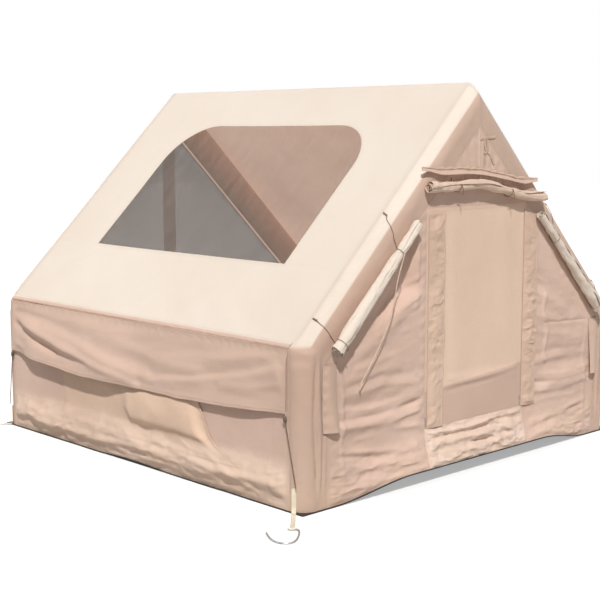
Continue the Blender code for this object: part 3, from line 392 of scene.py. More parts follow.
def boxRing(width, height, corner, steps=3):
    # a rounded rectangle as (across, up) pairs, going round once
    ring = []
    for quarter, (sx, sy) in enumerate(((1, 1), (-1, 1), (-1, -1), (1, -1))):
        for angle in np.radians(np.linspace(90 * quarter, 90 * quarter + 90, steps)):
            ring.append((sx * (width / 2 - corner) + corner * np.cos(angle),
                         sy * (height / 2 - corner) + corner * np.sin(angle)))
    return np.array(ring)


def joined(name, objects):
    # one piece out of several made at the origin
    for made in bpy.context.selected_objects:
        made.select_set(False)
    for made in objects:
        made.select_set(True)
    bpy.context.view_layer.objects.active = objects[0]
    bpy.ops.object.join()
    objects[0].name = name
    objects[0].data.name = name
    return objects[0]


def dress(piece, body, slot, *nodes):
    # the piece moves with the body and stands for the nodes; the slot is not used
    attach(piece, body)
    if nodes:
        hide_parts(*nodes)
    return piece


# Shader maths as expressions


class Wire:
    # one socket of a material's nodes, with the sums written as Python
    def __init__(self, tree, socket):
        self.tree, self.socket = tree, socket

    def make(self, kind, settings=None, output=0, **values):
        node = self.tree.nodes.new(kind)
        for name, value in (settings or {}).items():
            setattr(node, name, value)
        for name, value in values.items():
            numbered = name[0] == "i" and name[1:].isdigit()
            slot = node.inputs[int(name[1:])] if numbered else node.inputs[name.replace("_", " ")]
            self.put(slot, value)
        return Wire(self.tree, node.outputs[output])

    def put(self, slot, value):
        if isinstance(value, Wire):
            self.tree.links.new(value.socket, slot)
        else:
            slot.default_value = value

    def maths(self, operation, *values):
        return self.make("ShaderNodeMath", {"operation": operation},
                         **{f"i{k}": v for k, v in enumerate(values)})

    def __add__(self, other):
        return self.maths("ADD", self, other)

    def __radd__(self, other):
        return self.maths("ADD", other, self)

    def __sub__(self, other):
        return self.maths("SUBTRACT", self, other)

    def __rsub__(self, other):
        return self.maths("SUBTRACT", other, self)

    def __mul__(self, other):
        return self.maths("MULTIPLY", self, other)

    def __rmul__(self, other):
        return self.maths("MULTIPLY", other, self)

    def between(self, low, high):
        # 0 below low, 1 above high
        return self.make("ShaderNodeMapRange", {"interpolation_type": "SMOOTHSTEP"}, Value=self, From_Min=low,
                         From_Max=high)

    def mix(self, first, second):
        # first where this is 0, second where it is 1, as colours
        return self.make("ShaderNodeMix", {"data_type": "RGBA"}, output=2, Factor=self, i6=first, i7=second)

    def noise(self, scale, detail=3, rough=0.5):
        return self.make("ShaderNodeTexNoise", Vector=self, Scale=scale, Detail=detail, Roughness=rough)

    def scaled(self, x, y, z=1):
        return self.make("ShaderNodeMapping", Vector=self, Scale=(x, y, z))

    def normal(self, strength):
        # the surface's normal with this height in metres laid on it
        return self.make("ShaderNodeBump", Strength=strength, Distance=1.0, Height=self)

    def parts(self):
        node = self.tree.nodes.new("ShaderNodeSeparateXYZ")
        self.tree.links.new(self.socket, node.inputs[0])
        return [Wire(self.tree, out) for out in node.outputs]


def srgb(r, g, b):
    # a colour read off in 0-255 steps, as the shader wants it
    value = np.array([r, g, b]) / 255
    value = np.where(value <= 0.04045, value / 12.92, ((value + 0.055) / 1.055) ** 2.4)
    return (*value.tolist(), 1.0)


def newMaterial(name, build, **fixed):
    made = bpy.data.materials.new(name)
    made.use_nodes = True
    tree = made.node_tree
    shader = tree.nodes["Principled BSDF"]
    for slot, value in fixed.items():
        shader.inputs[slot.replace("_", " ")].default_value = value
    start = Wire(tree, shader.outputs[0])
    for slot, value in build(start).items():
        start.put(shader.inputs[slot.replace("_", " ")], value)
    return made


def coordinate(start, kind):
    return start.make("ShaderNodeTexCoord", output={"Object": 3, "UV": 2}[kind])


def edgeDistance(start):
    return start.make("ShaderNodeAttribute", {"attribute_name": "edgeAway"}, output=2)


def clothLook(name, cloth):
    # canvas: two crossed thread waves, slubs in the threads, broad fading, grime low down, a darker
    # felled hem with its stitches, and small creases
    def build(start):
        uv, place = coordinate(start, "UV"), coordinate(start, "Object")
        u, v, _ = uv.parts()
        threads = cloth["threads"]
        warp = u.maths("SINE", u * (threads * 2 * np.pi))
        weft = v.maths("SINE", v * (threads * 2 * np.pi))
        weave = warp * weft * 0.5 + 0.5
        slub = (uv.scaled(threads * 0.35, threads * 0.02).noise(1.0, 2) * 0.5
                + uv.scaled(threads * 0.02, threads * 0.35).noise(1.0, 2) * 0.5)
        broad = place.noise(cloth["broad"], 4, 0.55)
        patches = place.noise(cloth["broad"] * 5, 3, 0.6)
        creases = place.scaled(1, 1, 1.6).noise(cloth["creases"], 4, 0.6)
        away = edgeDistance(start)
        hem = 1 - away.between(cloth["hem"], cloth["hem"] + 0.004)
        stitch = away.make("ShaderNodeMath", {"operation": "COMPARE"}, i0=away, i1=cloth["hem"] - 0.003,
                           i2=0.0012)
        dash = u.maths("SINE", (u + v) * 1400).between(-0.2, 0.2)
        stitch = stitch * dash
        _, _, height = place.parts()
        low = 1 - height.between(0.0, 0.34)
        grime = low * patches.between(0.40, 0.75) * cloth["grime"]
        shade = broad.between(0.3, 0.7).mix(cloth["pale"], cloth["deep"])
        shade = (patches.between(0.35, 0.75) * 0.35).mix(shade, cloth["warm"])
        if "other" in cloth:
            # a second palette where the piece's tone says so; on the sleeves and the eave welts it is the
            # roof's palette, painted paler as if sunlit
            tone = start.make("ShaderNodeAttribute", {"attribute_name": "tone"}, output=2)
            second = cloth["other"]
            shade = tone.mix(shade, broad.between(0.3, 0.7).mix(second["pale"], second["deep"]))
        shade = (slub.between(0.40, 0.62) * 0.10 + hem * 0.16).mix(shade, cloth["thread"])
        shade = grime.mix(shade, cloth["dirt"])
        shade = (stitch * 0.5).mix(shade, cloth["stitch"])
        rough = 0.80 + (slub - 0.5) * 0.2 + (broad - 0.5) * 0.1
        relief = weave * 0.00012 + slub * 0.0003 + creases * cloth["crease"] + stitch * 0.0005
        normal = relief.normal(0.9)
        return {"Base_Color": shade, "Roughness": rough, "Normal": normal}

    return newMaterial(name, build, Sheen_Weight=0.12, Sheen_Roughness=0.6, Specular_IOR_Level=0.22)


# the roof's palette is the walls' cloth painted paler and creamier: painted sunlight on the upper slopes
sunPaintedRoofCanvas = {
    "pale": srgb(236, 225, 213), "deep": srgb(228, 215, 202), "warm": srgb(232, 218, 203),
    "thread": srgb(216, 200, 184), "dirt": srgb(206, 182, 156), "stitch": srgb(250, 242, 230),
    "threads": 620, "broad": 0.9, "creases": 9, "crease": 0.0016, "hem": 0.020, "grime": 0.25,
}
wallCanvas = {
    "pale": srgb(225, 196, 181), "deep": srgb(211, 181, 166), "warm": srgb(211, 184, 163),
    "thread": srgb(190, 162, 144), "dirt": srgb(222, 196, 166), "stitch": srgb(236, 214, 194),
    "threads": 620, "broad": 1.3, "creases": 11, "crease": 0.0030, "hem": 0.018, "grime": 0.4,
}
doorCanvas = dict(wallCanvas, pale=srgb(236, 208, 187), deep=srgb(229, 200, 178), warm=srgb(232, 204, 182),
                  creases=7, crease=0.0016)
coverCanvas = dict(wallCanvas, pale=srgb(231, 201, 178), deep=srgb(219, 189, 167))
skirtCanvas = dict(wallCanvas, pale=srgb(231, 205, 187), deep=srgb(219, 191, 173), crease=0.004)

# the roof's cloth, in its palette painted paler as if sunlit
roofCloth = clothLook("roofCloth", sunPaintedRoofCanvas)
wallCloth = clothLook("wallCloth", wallCanvas)


def liningLook(start):
    # the cloth seen from inside: paler, softly mottled, with a painted glow in its emission that stands for
    # daylight coming through the cloth
    place = coordinate(start, "Object")
    broad = place.noise(1.4, 4, 0.55)
    shade = broad.between(0.3, 0.7).mix(srgb(224, 198, 180), srgb(206, 178, 160))
    glow = broad.between(0.3, 0.7).mix(srgb(214, 186, 168), srgb(196, 166, 148))
    normal = (place.noise(9, 4, 0.6) * 0.003).normal(0.6)
    return {"Base_Color": shade, "Emission_Color": glow, "Normal": normal}


# the emission strength sets the painted glow: the inner faces shine under any lamp
lining = newMaterial("lining", liningLook, Roughness=0.9, Emission_Strength=0.62)


def filmLook(start):
    # clear vinyl gone a little smoky, with streaks where it was rolled up
    place = coordinate(start, "Object")
    streak = place.scaled(1, 6, 1).noise(3, 3, 0.6)
    ripple = place.noise(7, 3, 0.5)
    shade = streak.between(0.35, 0.7).mix((0.30, 0.25, 0.22, 1), (0.38, 0.31, 0.27, 1))
    normal = (ripple * 0.002).normal(0.5)
    return {"Base_Color": shade, "Roughness": 0.12 + streak * 0.12, "Alpha": 0.16 + streak * 0.12,
            "Normal": normal}


windowFilm = newMaterial("windowFilm", filmLook, Specular_IOR_Level=0.5)


def netLook(start):
    # fly net: square holes 1.6 mm apart, which blur to a grey veil from afar
    uv = coordinate(start, "UV")
    u, v, _ = uv.parts()
    across = u.maths("SINE", u * 3900) * 0.5 + 0.5
    along = v.maths("SINE", v * 3900) * 0.5 + 0.5
    thread = across.maths("MAXIMUM", across, along).between(0.55, 0.8)
    shade = thread.mix((0.05, 0.05, 0.055, 1), (0.11, 0.11, 0.115, 1))
    return {"Base_Color": shade, "Alpha": 0.30 + thread * 0.55}


meshNet = newMaterial("meshNet", netLook, Roughness=0.85)


def floorLook(start):
    # coated black floor cloth: fine grid, dust, scuffs
    place, uv = coordinate(start, "Object"), coordinate(start, "UV")
    u, v, _ = uv.parts()
    grid = u.maths("SINE", u * 2200) * v.maths("SINE", v * 2200)
    dust = place.noise(6, 4, 0.6)
    shade = dust.between(0.45, 0.8).mix((0.022, 0.022, 0.023, 1), (0.075, 0.068, 0.060, 1))
    normal = (grid * 0.0002 + dust * 0.001).normal(0.6)
    return {"Base_Color": shade, "Roughness": 0.42 + dust * 0.3, "Normal": normal}


floorSheet = newMaterial("floorSheet", floorLook)


def webbingLook(pale, deep):
    # woven strap: ribs across it, a denser edge, and wear in broad patches
    def build(start):
        uv, place = coordinate(start, "UV"), coordinate(start, "Object")
        u, v, _ = uv.parts()
        rib = v.maths("SINE", v * 3600) * 0.5 + 0.5
        row = u.maths("SINE", u * 2600) * 0.5 + 0.5
        worn = place.noise(38, 3, 0.6)
        shade = (rib * 0.35 + worn.between(0.4, 0.7) * 0.5).mix(pale, deep)
        normal = (rib * row * 0.0005 + worn * 0.0006).normal(0.8)
        return {"Base_Color": shade, "Roughness": 0.78 + worn * 0.15, "Normal": normal}

    return build


webbing = newMaterial("webbing", webbingLook(srgb(240, 230, 210), srgb(214, 196, 168)), Sheen_Weight=0.1)
paleCord = newMaterial("paleCord", webbingLook(srgb(226, 208, 186), srgb(196, 172, 148)), Sheen_Weight=0.1)
darkCord = newMaterial("darkCord", webbingLook(srgb(150, 126, 108), srgb(92, 76, 64)), Sheen_Weight=0.1)


def plasticLook(pale, deep):
    # moulded plastic: fine pebble, rubbed lighter on its high spots
    def build(start):
        place = coordinate(start, "Object")
        pebble = place.make("ShaderNodeTexVoronoi", Vector=place, Scale=900.0)
        worn = place.noise(160, 3, 0.6)
        shade = worn.between(0.45, 0.75).mix(pale, deep)
        normal = (pebble * 0.0003).normal(0.35)
        return {"Base_Color": shade, "Roughness": 0.36 + worn * 0.3, "Normal": normal}

    return build


darkPlastic = newMaterial("darkPlastic", plasticLook((0.022, 0.021, 0.022, 1), (0.060, 0.056, 0.054, 1)))
lockPlastic = newMaterial("lockPlastic", plasticLook(srgb(112, 92, 80), srgb(62, 52, 46)))
beamFilm = newMaterial("beamFilm", plasticLook(srgb(196, 160, 128), srgb(176, 140, 110)))


def steelLook(start):
    # galvanised wire: spangle, a drawn grain along it, dull patches
    place, uv = coordinate(start, "Object"), coordinate(start, "UV")
    grain = uv.scaled(900, 12).noise(1, 3)
    worn = place.noise(70, 4, 0.6)
    shade = worn.between(0.35, 0.7).mix((0.66, 0.67, 0.69, 1), (0.40, 0.40, 0.41, 1))
    normal = (grain * 0.0004).normal(0.3)
    return {"Base_Color": shade, "Roughness": 0.22 + worn * 0.28, "Normal": normal}


steel = newMaterial("steel", steelLook, Metallic=1.0)
print("materials made")


# Rolls, their ties and the cords

curtain = {
    "start": 0.110, "length": 0.80, "inset": 0.142, "endRadius": 0.038, "topRadius": 0.025,
    "ties": (0.055, 0.76), "lean": (0.035, 0.135), "turns": 4.2,
}
awning = {"height": 1.48, "left": -0.43, "right": 0.53, "radius": 0.027, "ties": (-0.218, 0.203),
          "droop": 0.075, "turns": 3.6}
tie = {"radius": 0.0025, "wrap": 0.016, "squeeze": 0.15, "slack": 0.002, "toggle": 0.006,
       "toggleLength": 0.026}
tieStep = np.radians(22.5)
rollStandoff = 2 * tie["radius"] + 2 * tent["gap"]


def drawnIn(places, ties, spread):
    # how much a roll's radius is left where its ties squeeze it
    return 1 - tie["squeeze"] * sum(bump(places, at, spread) for at in ties)


def tieRing(place, wrap, places, radii):
    # radius of the tie's loops, clear of the widest place under its wraps
    ends = np.interp([place - wrap / 2, place + wrap / 2], places, radii)
    return max(ends) / np.cos(tieStep / 2) + tie["radius"] + tent["gap"]


def droop(x):
    # the awning roll and the hood hang lower towards their right ends
    return awning["droop"] * smooth(x, 0.3 * awning["left"], awning["right"])


def curtainRadius(part):
    return curtain["endRadius"] + (curtain["topRadius"] - curtain["endRadius"]) * part**0.7


def curtainCentre(side, part):
    y = -halfDepth - rollStandoff - curtainRadius(part)
    return slopePoint(side, curtain["start"] + curtain["length"] * part, y, -curtain["inset"])


def curtainSizes():
    part = np.sort([*np.linspace(0, 1, 18), *curtain["ties"]])
    return part, curtainRadius(part) * drawnIn(part, curtain["ties"], 0.05)


def awningCentre(x):
    y = np.full_like(np.asarray(x, float), -halfDepth - rollStandoff - awning["radius"])
    return np.stack([x, y, awning["height"] - droop(x)], axis=-1)


def awningSizes():
    x = np.sort([*np.linspace(awning["left"], awning["right"], 19), *awning["ties"]])
    return x, awning["radius"] * drawnIn(x, awning["ties"], 2 * awning["radius"])


guyLine = {
    "route": ((0, 0, 0), (-0.045, 0.002, -0.12), (-0.070, 0.014, -0.27), (-0.120, 0.024, -0.39),
              (-0.185, 0.028, -0.49), (-0.270, 0.030, -0.60)),
    "diameter": 0.005, "length": 0.677,
}


def guyCord():
    # the spare guy line that hangs from the left curtain's upper tie, knotted at its end
    part = curtain["ties"][1]
    ring = tieRing(part, tie["wrap"] / curtain["length"], *curtainSizes())
    start = curtainCentre(-1, part) - (0, ring * np.cos(tieStep / 2) + 2 * tie["radius"] + tent["gap"], 0)
    path = smoothRoute(start + np.array(guyLine["route"]), 90)
    piece = cordTube("guy_cord", path, guyLine["diameter"] / 2, paleCord, 12, strands=6, lay=0.018)
    # the knot: a trefoil drawn tight
    turn = np.linspace(0, 2 * np.pi, 60)
    trefoil = (np.stack([np.sin(turn) + 2 * np.sin(2 * turn), np.cos(turn) - 2 * np.cos(2 * turn),
                         -np.sin(3 * turn) * 1.4], axis=1) * 0.0021)
    knot = cordTube("guy_cord_knot", path[-1] + trefoil - (0, 0.002, 0), guyLine["diameter"] / 2 * 0.8,
                    paleCord, 8)
    dress(piece, "tent", "webbing", "front_guy_cord")
    dress(knot, "tent", "webbing")


guyCord()

flap = {"bottom": 0.44, "sag": 0.018, "endRise": 0.012, "endGap": 0.012, "topGap": 0.003, "step": 0.006,
        "standoff": 0.026}
flapTop, flapHalf = eaveUnderside - flap["topGap"], sideHalf - flap["endGap"]
flapFolds = (
    (((1.02, 0.64), (-0.05, 0.45)), 0.045, 0.013),
    (((-0.26, 0.51), (-1.12, 0.66)), 0.050, 0.012),
    (((0.45, 0.70), (-0.55, 0.56)), 0.060, 0.006),
)


def plainRidge(x, z, line, width, height):
    # the solids' own soft ridge: a bell of the distance to one straight line
    (x0, z0), (x1, z1) = line
    run = np.array([x1 - x0, z1 - z0])
    along = np.clip(((x - x0) * run[0] + (z - z0) * run[1]) / (run @ run), 0, 1)
    return height * np.exp(-((np.hypot(x - x0 - along * run[0], z - z0 - along * run[1]) / width) ** 2))


def flapBottom(y):
    # height of the flap's lower hem: a sag between ends that rise a little
    ends = smooth(np.abs(y) / flapHalf, 0.6, 0.93)
    return flap["bottom"] - flap["sag"] * np.cos(2.6 * y / flapHalf) + flap["endRise"] * ends


def flapStand(y, part):
    # how far the solid flap stands off the wall: a step under its seam, a swing and its ridges
    down = 1 - part
    ends = smooth(1 - np.abs(y) / flapHalf, 0, 0.21)
    swing = flap["standoff"] * down**1.3 * (0.35 + 0.65 * ends)
    z = flapBottom(y) + (flapTop - flapBottom(y)) * part
    lines = sum(plainRidge(y, z, *row) for row in flapFolds) * smooth(down, 0, 0.25)
    return tent["gap"] + tent["room"] + flap["step"] * smooth(down, 0.02, 0.20) + swing + lines


flapCord = {"diameter": 0.005, "inset": 0.006, "setback": 0.038, "standoff": 0.006, "lockDrop": 0.012,
            "lockLength": 0.026, "sewn": 0.12}


def flapCordEnds(side, end):
    corner = flapHalf - flapCord["inset"]
    out = flapStand(corner, 0) - tent["room"] / 2
    high = flapBottom(corner) - tent["gap"] - flapCord["diameter"] / 6
    top = np.array([side * (halfWidth + out), end * corner, high])
    bottom = np.array([side * (halfWidth + flapCord["standoff"]), end * (halfDepth - flapCord["setback"]),
                       flapCord["sewn"] + flapCord["diameter"]])
    return top, bottom


def cordLock(name, side, end, body, node):
    # a barrel lock: a turned barrel with a waist, a ribbed button on top and its bore
    top, bottom = flapCordEnds(side, end)
    line = unit(bottom - top)
    start = top + line * flapCord["lockDrop"]
    long = flapCord["lockLength"]
    bore = flapCord["diameter"] / 2 + 0.0006
    along = np.array([0, 0, 0.001, 0.004, 0.007, 0.0078, 0.0095, 0.0103, 0.013, 0.0157, 0.0165, 0.0182, 0.019,
                      0.022, 0.025, long, long, 0])
    radius = np.array([bore, 0.0066, 0.0074, 0.0087, 0.0089, 0.0078, 0.0078, 0.0088, 0.0090, 0.0088, 0.0078,
                       0.0078, 0.0089, 0.0088, 0.0075, 0.0068, bore, bore])
    side1 = unit(np.cross(line, (0, 1.0, 0)))
    side2 = np.cross(line, side1)
    angles = np.linspace(0, 2 * np.pi, 29)
    spokes = side1 * np.cos(angles)[:, None] + side2 * np.sin(angles)[:, None]
    points = start + line * along[:, None, None] + spokes[None] * radius[:, None, None]
    index = numbered(points)
    uv = np.stack(np.broadcast_arrays(angles[None] * 0.008, along[:, None]), axis=-1)
    piece = closedUp(newMesh(name, points, [quads(index)], lockPlastic, uv))
    return dress(piece, body, "dark_plastic", node)


def flapCords():
    # each cord runs from the flap's corner down to the corner loop, with its lock on it
    for sideName, side in bothSides:
        for endName, end in bothEnds:
            corner = f"{endName}_{sideName}"
            top, bottom = flapCordEnds(side, end)
            path = spaced([top, bottom], 60)
            piece = cordTube(f"{corner}_elastic", path, flapCord["diameter"] / 2, darkCord, 10, strands=8,
                             lay=0.012)
            lock = cordLock(f"{corner}_barrel_lock", side, end, f"{corner}_lock", f"{corner}_cord_lock")
            dress(piece, f"{sideName}_flap", "dark_cord", f"{corner}_flap_cord")


flapCords()
print("cords made")


def rolledSheet(name, centres, radii, turns, look, aside, up, seed):
    # cloth wound into a roll: at each place along the roll a spiral that shrinks inward by one
    # gap a turn, flattened and wrinkled a little, carried along the roll's line
    count = len(centres)
    corners = int(turns * 26)
    t = np.linspace(0, 1, corners)
    angle = t * turns * 2 * np.pi
    sizes = radii[:, None] * (1 - 0.80 * t[None])
    along = np.linspace(0, 1, count)[:, None]
    creases = 1 - 2.4 * np.abs(noise(angle[None] * 1.3 + along * 4, along * 3.5, seed, 3))
    wrinkle = np.maximum(creases, -0.8) * 0.17 + noise(angle[None] * 0.7, along * 13, seed + 5, 3) * 0.28
    wrinkle = np.clip(wrinkle - 0.08, -0.36, 0.10) * (1 - 0.7 * t[None])
    twist = along * 0.9 + noise(along * 5, 0, seed + 2, 2) * 0.35
    far = sizes * (1 + wrinkle)
    x = far * np.cos(angle[None] + twist)
    y = far * np.sin(angle[None] + twist)
    ends = 0.007 * np.sin(angle[None] * 1.3 + seed) * (1 - t[None])
    way = unit(np.gradient(centres, axis=0))
    shift = (way[:, None] * (ends * np.where(along < 0.5, -1, 1)
                             * smooth(np.abs(along - 0.5), 0.44, 0.5))[..., None])
    outer = centres[:, None] + shift + x[..., None] * aside + y[..., None] * up
    return clothSheet(name, outer, look, thick=0.0013)


def curtainRoll(name, side):
    part = np.linspace(0, 1, 150)
    radii = curtainRadius(part) * drawnIn(part, curtain["ties"], 0.05)
    radii = radii * (1 - 0.05 * bump(part, 0.42, 0.06) - 0.04 * bump(part, 0.62, 0.05))
    centres = curtainCentre(side, part)
    aside = np.array([0, -1.0, 0])
    up = np.array([side * sinPitch, 0, cosPitch])
    # the roll takes the roof's palette, painted paler as if sunlit
    roll = rolledSheet(f"{name}_door_curtain", centres, radii, curtain["turns"], roofCloth, aside, up,
                       3 + side)
    dress(roll, "tent", "roof_cloth", f"{name}_curtain_roll")


rollCloth = clothLook("rollCloth", dict(wallCanvas, pale=srgb(232, 208, 190), deep=srgb(216, 190, 170)))


def awningRoll():
    x = np.linspace(awning["left"], awning["right"], 150)
    radii = awning["radius"] * drawnIn(x, awning["ties"], 2 * awning["radius"])
    # lumpy between its ties, arched a little there, and gathered into a knob at the left end
    radii = (radii * (1 + 0.10 * noise(x * 9, 0, 19, 2) + 0.16 * bump(x, awning["left"] + 0.035, 0.022)
                      - 0.14 * bump(x, awning["left"] + 0.085, 0.022)))
    arch = 0.010 * bump(x, -0.01, 0.11) - 0.004 * bump(x, 0.33, 0.06)
    centres = awningCentre(x) + np.stack([0 * x, 0 * x, arch], axis=1)
    roll = rolledSheet("rolled_awning", centres, radii, awning["turns"], rollCloth, np.array([0, -1.0, 0]),
                       np.array([0, 0, 1.0]), 9)
    dress(roll, "tent", "wall_cloth", "awning_roll")


def awningTie(name, x):
    # a cord off the gable, wound once round the awning roll, its free end hanging in front
    centre = awningCentre(x)
    ring = tieRing(x, tie["wrap"], *awningSizes())
    behind, left = -halfDepth - tent["gap"] - tie["radius"], x - tie["wrap"] / 2
    path = [(left, behind, centre[2] + ring + tie["wrap"]), (left, behind, centre[2] + tie["wrap"] / 2)]
    for turn in np.linspace(0.15, 1, 9):
        angle = 9.3 * tieStep * turn
        path.append((left + tie["wrap"] * turn, centre[1] + ring * np.cos(angle),
                     centre[2] - ring * np.sin(angle)))
    front = centre[1] - ring - 2 * tie["slack"]
    path += [(x + 0.75 * tie["wrap"], front, centre[2] - 0.75 * tie["wrap"]),
             (x + 0.9 * tie["wrap"], front, centre[2] - ring - tie["wrap"])]
    cord = cordTube(name, smoothRoute(path, 90), tie["radius"] * 0.9, darkCord, 8, strands=6, lay=0.014)
    dress(joined(name, [cord]), "tent", "dark_cord", f"{name.replace('_lashing', '')}")


def curtainTie(name, side, part, lean):
    # a toggle on the sleeve's corner, its cord down the sleeve's face and round the roll
    along = curtain["start"] + curtain["length"] * part
    cord = tie["radius"] + tent["gap"]
    ring = tieRing(part, tie["wrap"] / curtain["length"], *curtainSizes())
    halfToggle = tie["toggleLength"] / 2 / sleeveRadius
    seat = (sleeveRadius + tie["toggle"] + tent["gap"]) / np.cos(halfToggle)
    bend = sleeveRadius + cord + tie["slack"]
    toggleAngle = np.radians(68)
    face = [(seat, toggleAngle + halfToggle), (seat, toggleAngle - halfToggle),
            (seat, toggleAngle - halfToggle - tie["radius"] / seat)]
    face += [(bend, angle) for angle in np.linspace(toggleAngle - 2 * halfToggle, 0, 5)]
    centreOut, centreReach = (sleeveRadius - curtain["inset"],
                              sleeveRadius + rollStandoff + curtainRadius(part))
    route = [(far * np.cos(angle), far * np.sin(angle)) for far, angle in face]
    route.append((sleeveRadius + cord, centreOut))
    before = len(route)
    for angle in np.radians(30) + tieStep * np.arange(13):
        route.append((centreReach - ring * np.cos(angle), centreOut - ring * np.sin(angle)))
    points = []
    for i, (reach, out) in enumerate(route):
        wrap = tie["wrap"] * (max(0, i - before) / (len(route) - 1 - before) - 0.5)
        fall = lean * (1 - min(i, before) / before) ** 0.7
        points.append(slopePoint(side, along + wrap + fall, -beamY - reach, out - sleeveRadius))
    points = np.array(points)
    cordPiece = cordTube(name, smoothRoute(points[1:], 120), tie["radius"] * 0.65, darkCord, 8, strands=6,
                         lay=0.014)
    # the toggle: a waisted peg with rounded ends, laid along its own line
    spine = spaced(points[:2], 24)
    t = np.linspace(-1, 1, 24)
    sizes = tie["toggle"] * np.sqrt(np.clip(1 - np.abs(t) ** 8, 0.02, 1)) * (0.86 + 0.14 * np.abs(t) ** 2)
    sizes = sizes * (1 - 0.30 * bump(t, 0.0, 0.16)) * 0.75
    toggle = cordTube(f"{name}_toggle", spine, sizes, darkCord, 16)
    joined(name, [cordPiece, toggle])
    dress(cordPiece, "tent", "dark_cord", name.replace("_lashing", ""))


for sideName, side in bothSides:
    curtainRoll(sideName, side)
    for tieName, part, lean in zip(("lower", "upper"), curtain["ties"], curtain["lean"]):
        curtainTie(f"{sideName}_{tieName}_curtain_tie_lashing", side, part, lean)
for sideName, x in zip(("left", "right"), awning["ties"]):
    awningTie(f"{sideName}_awning_tie_lashing", x)
awningRoll()
print("rolls and ties made")


# Air beams, their sleeves and the roof

beams = {"eaveBend": 0.20, "apexBend": 0.12, "ridgeRadius": 0.06, "pleat": 0.0012, "step": 0.012}


def airBeam(name, path, radius, node):
    # an inflated tube: full and round, with fine pleats on the inside of its bends
    path = spaced(path, int(np.linalg.norm(np.diff(path, axis=0), axis=1).sum() / beams["step"]))
    way = unit(np.gradient(path, axis=0))
    turning = np.linalg.norm(np.gradient(way, axis=0), axis=1) / beams["step"]
    walked = np.arange(len(path)) * beams["step"]
    angles = np.linspace(0, 2 * np.pi, 40, endpoint=False)
    pleats = (np.minimum(turning * 0.12, 1)[:, None] * np.sin(walked[:, None] * 260)
              * (0.5 + 0.5 * np.sin(angles[None] + 1.2)))
    seam = bump(np.mod(angles, 2 * np.pi), np.pi, 0.06)[None] * 0.0006
    ends = np.minimum(walked, walked[-1] - walked)
    roundOff = np.sqrt(np.clip(1 - (1 - np.clip(ends / 0.03, 0, 1)) ** 2, 0.03, 1))
    size = (radius - 0.0014 + beams["pleat"] * pleats + seam) * roundOff[:, None]
    profile = roundProfile(angles, size)
    piece = ringTube(name, carried(path, profile), beamFilm)
    dress(piece, "tent", "beam_film", node)


for endName, end in bothEnds:
    y = end * beamY
    corners = [(-eaveCorner[0], y, onFloor), (-eaveCorner[0], y, eaveCorner[1]), (0, y, apexCorner[1]),
               (eaveCorner[0], y, eaveCorner[1]), (eaveCorner[0], y, onFloor)]
    arch = rounded(corners, (beams["eaveBend"], beams["apexBend"], beams["eaveBend"]), 24)
    airBeam(f"{endName}_inflated_arch", arch, tent["beam"], f"{endName}_air_beam")
ridgeHeight = tent["ridge"] - (beams["ridgeRadius"] + tent["room"] + tent["gap"]) / cosPitch
reach = beamY - tent["beam"] - tent["gap"]
airBeam("ridge_inflated_tube", np.array([(0, -reach, ridgeHeight), (0, reach, ridgeHeight)]),
        beams["ridgeRadius"], "ridge_air_beam")

sleeve = {"pucker": 0.0022, "legFolds": ((0.030, 0.008, -0.006), (0.052, 0.009, 0.005),
                                         (0.078, 0.010, -0.006), (0.112, 0.016, 0.003))}


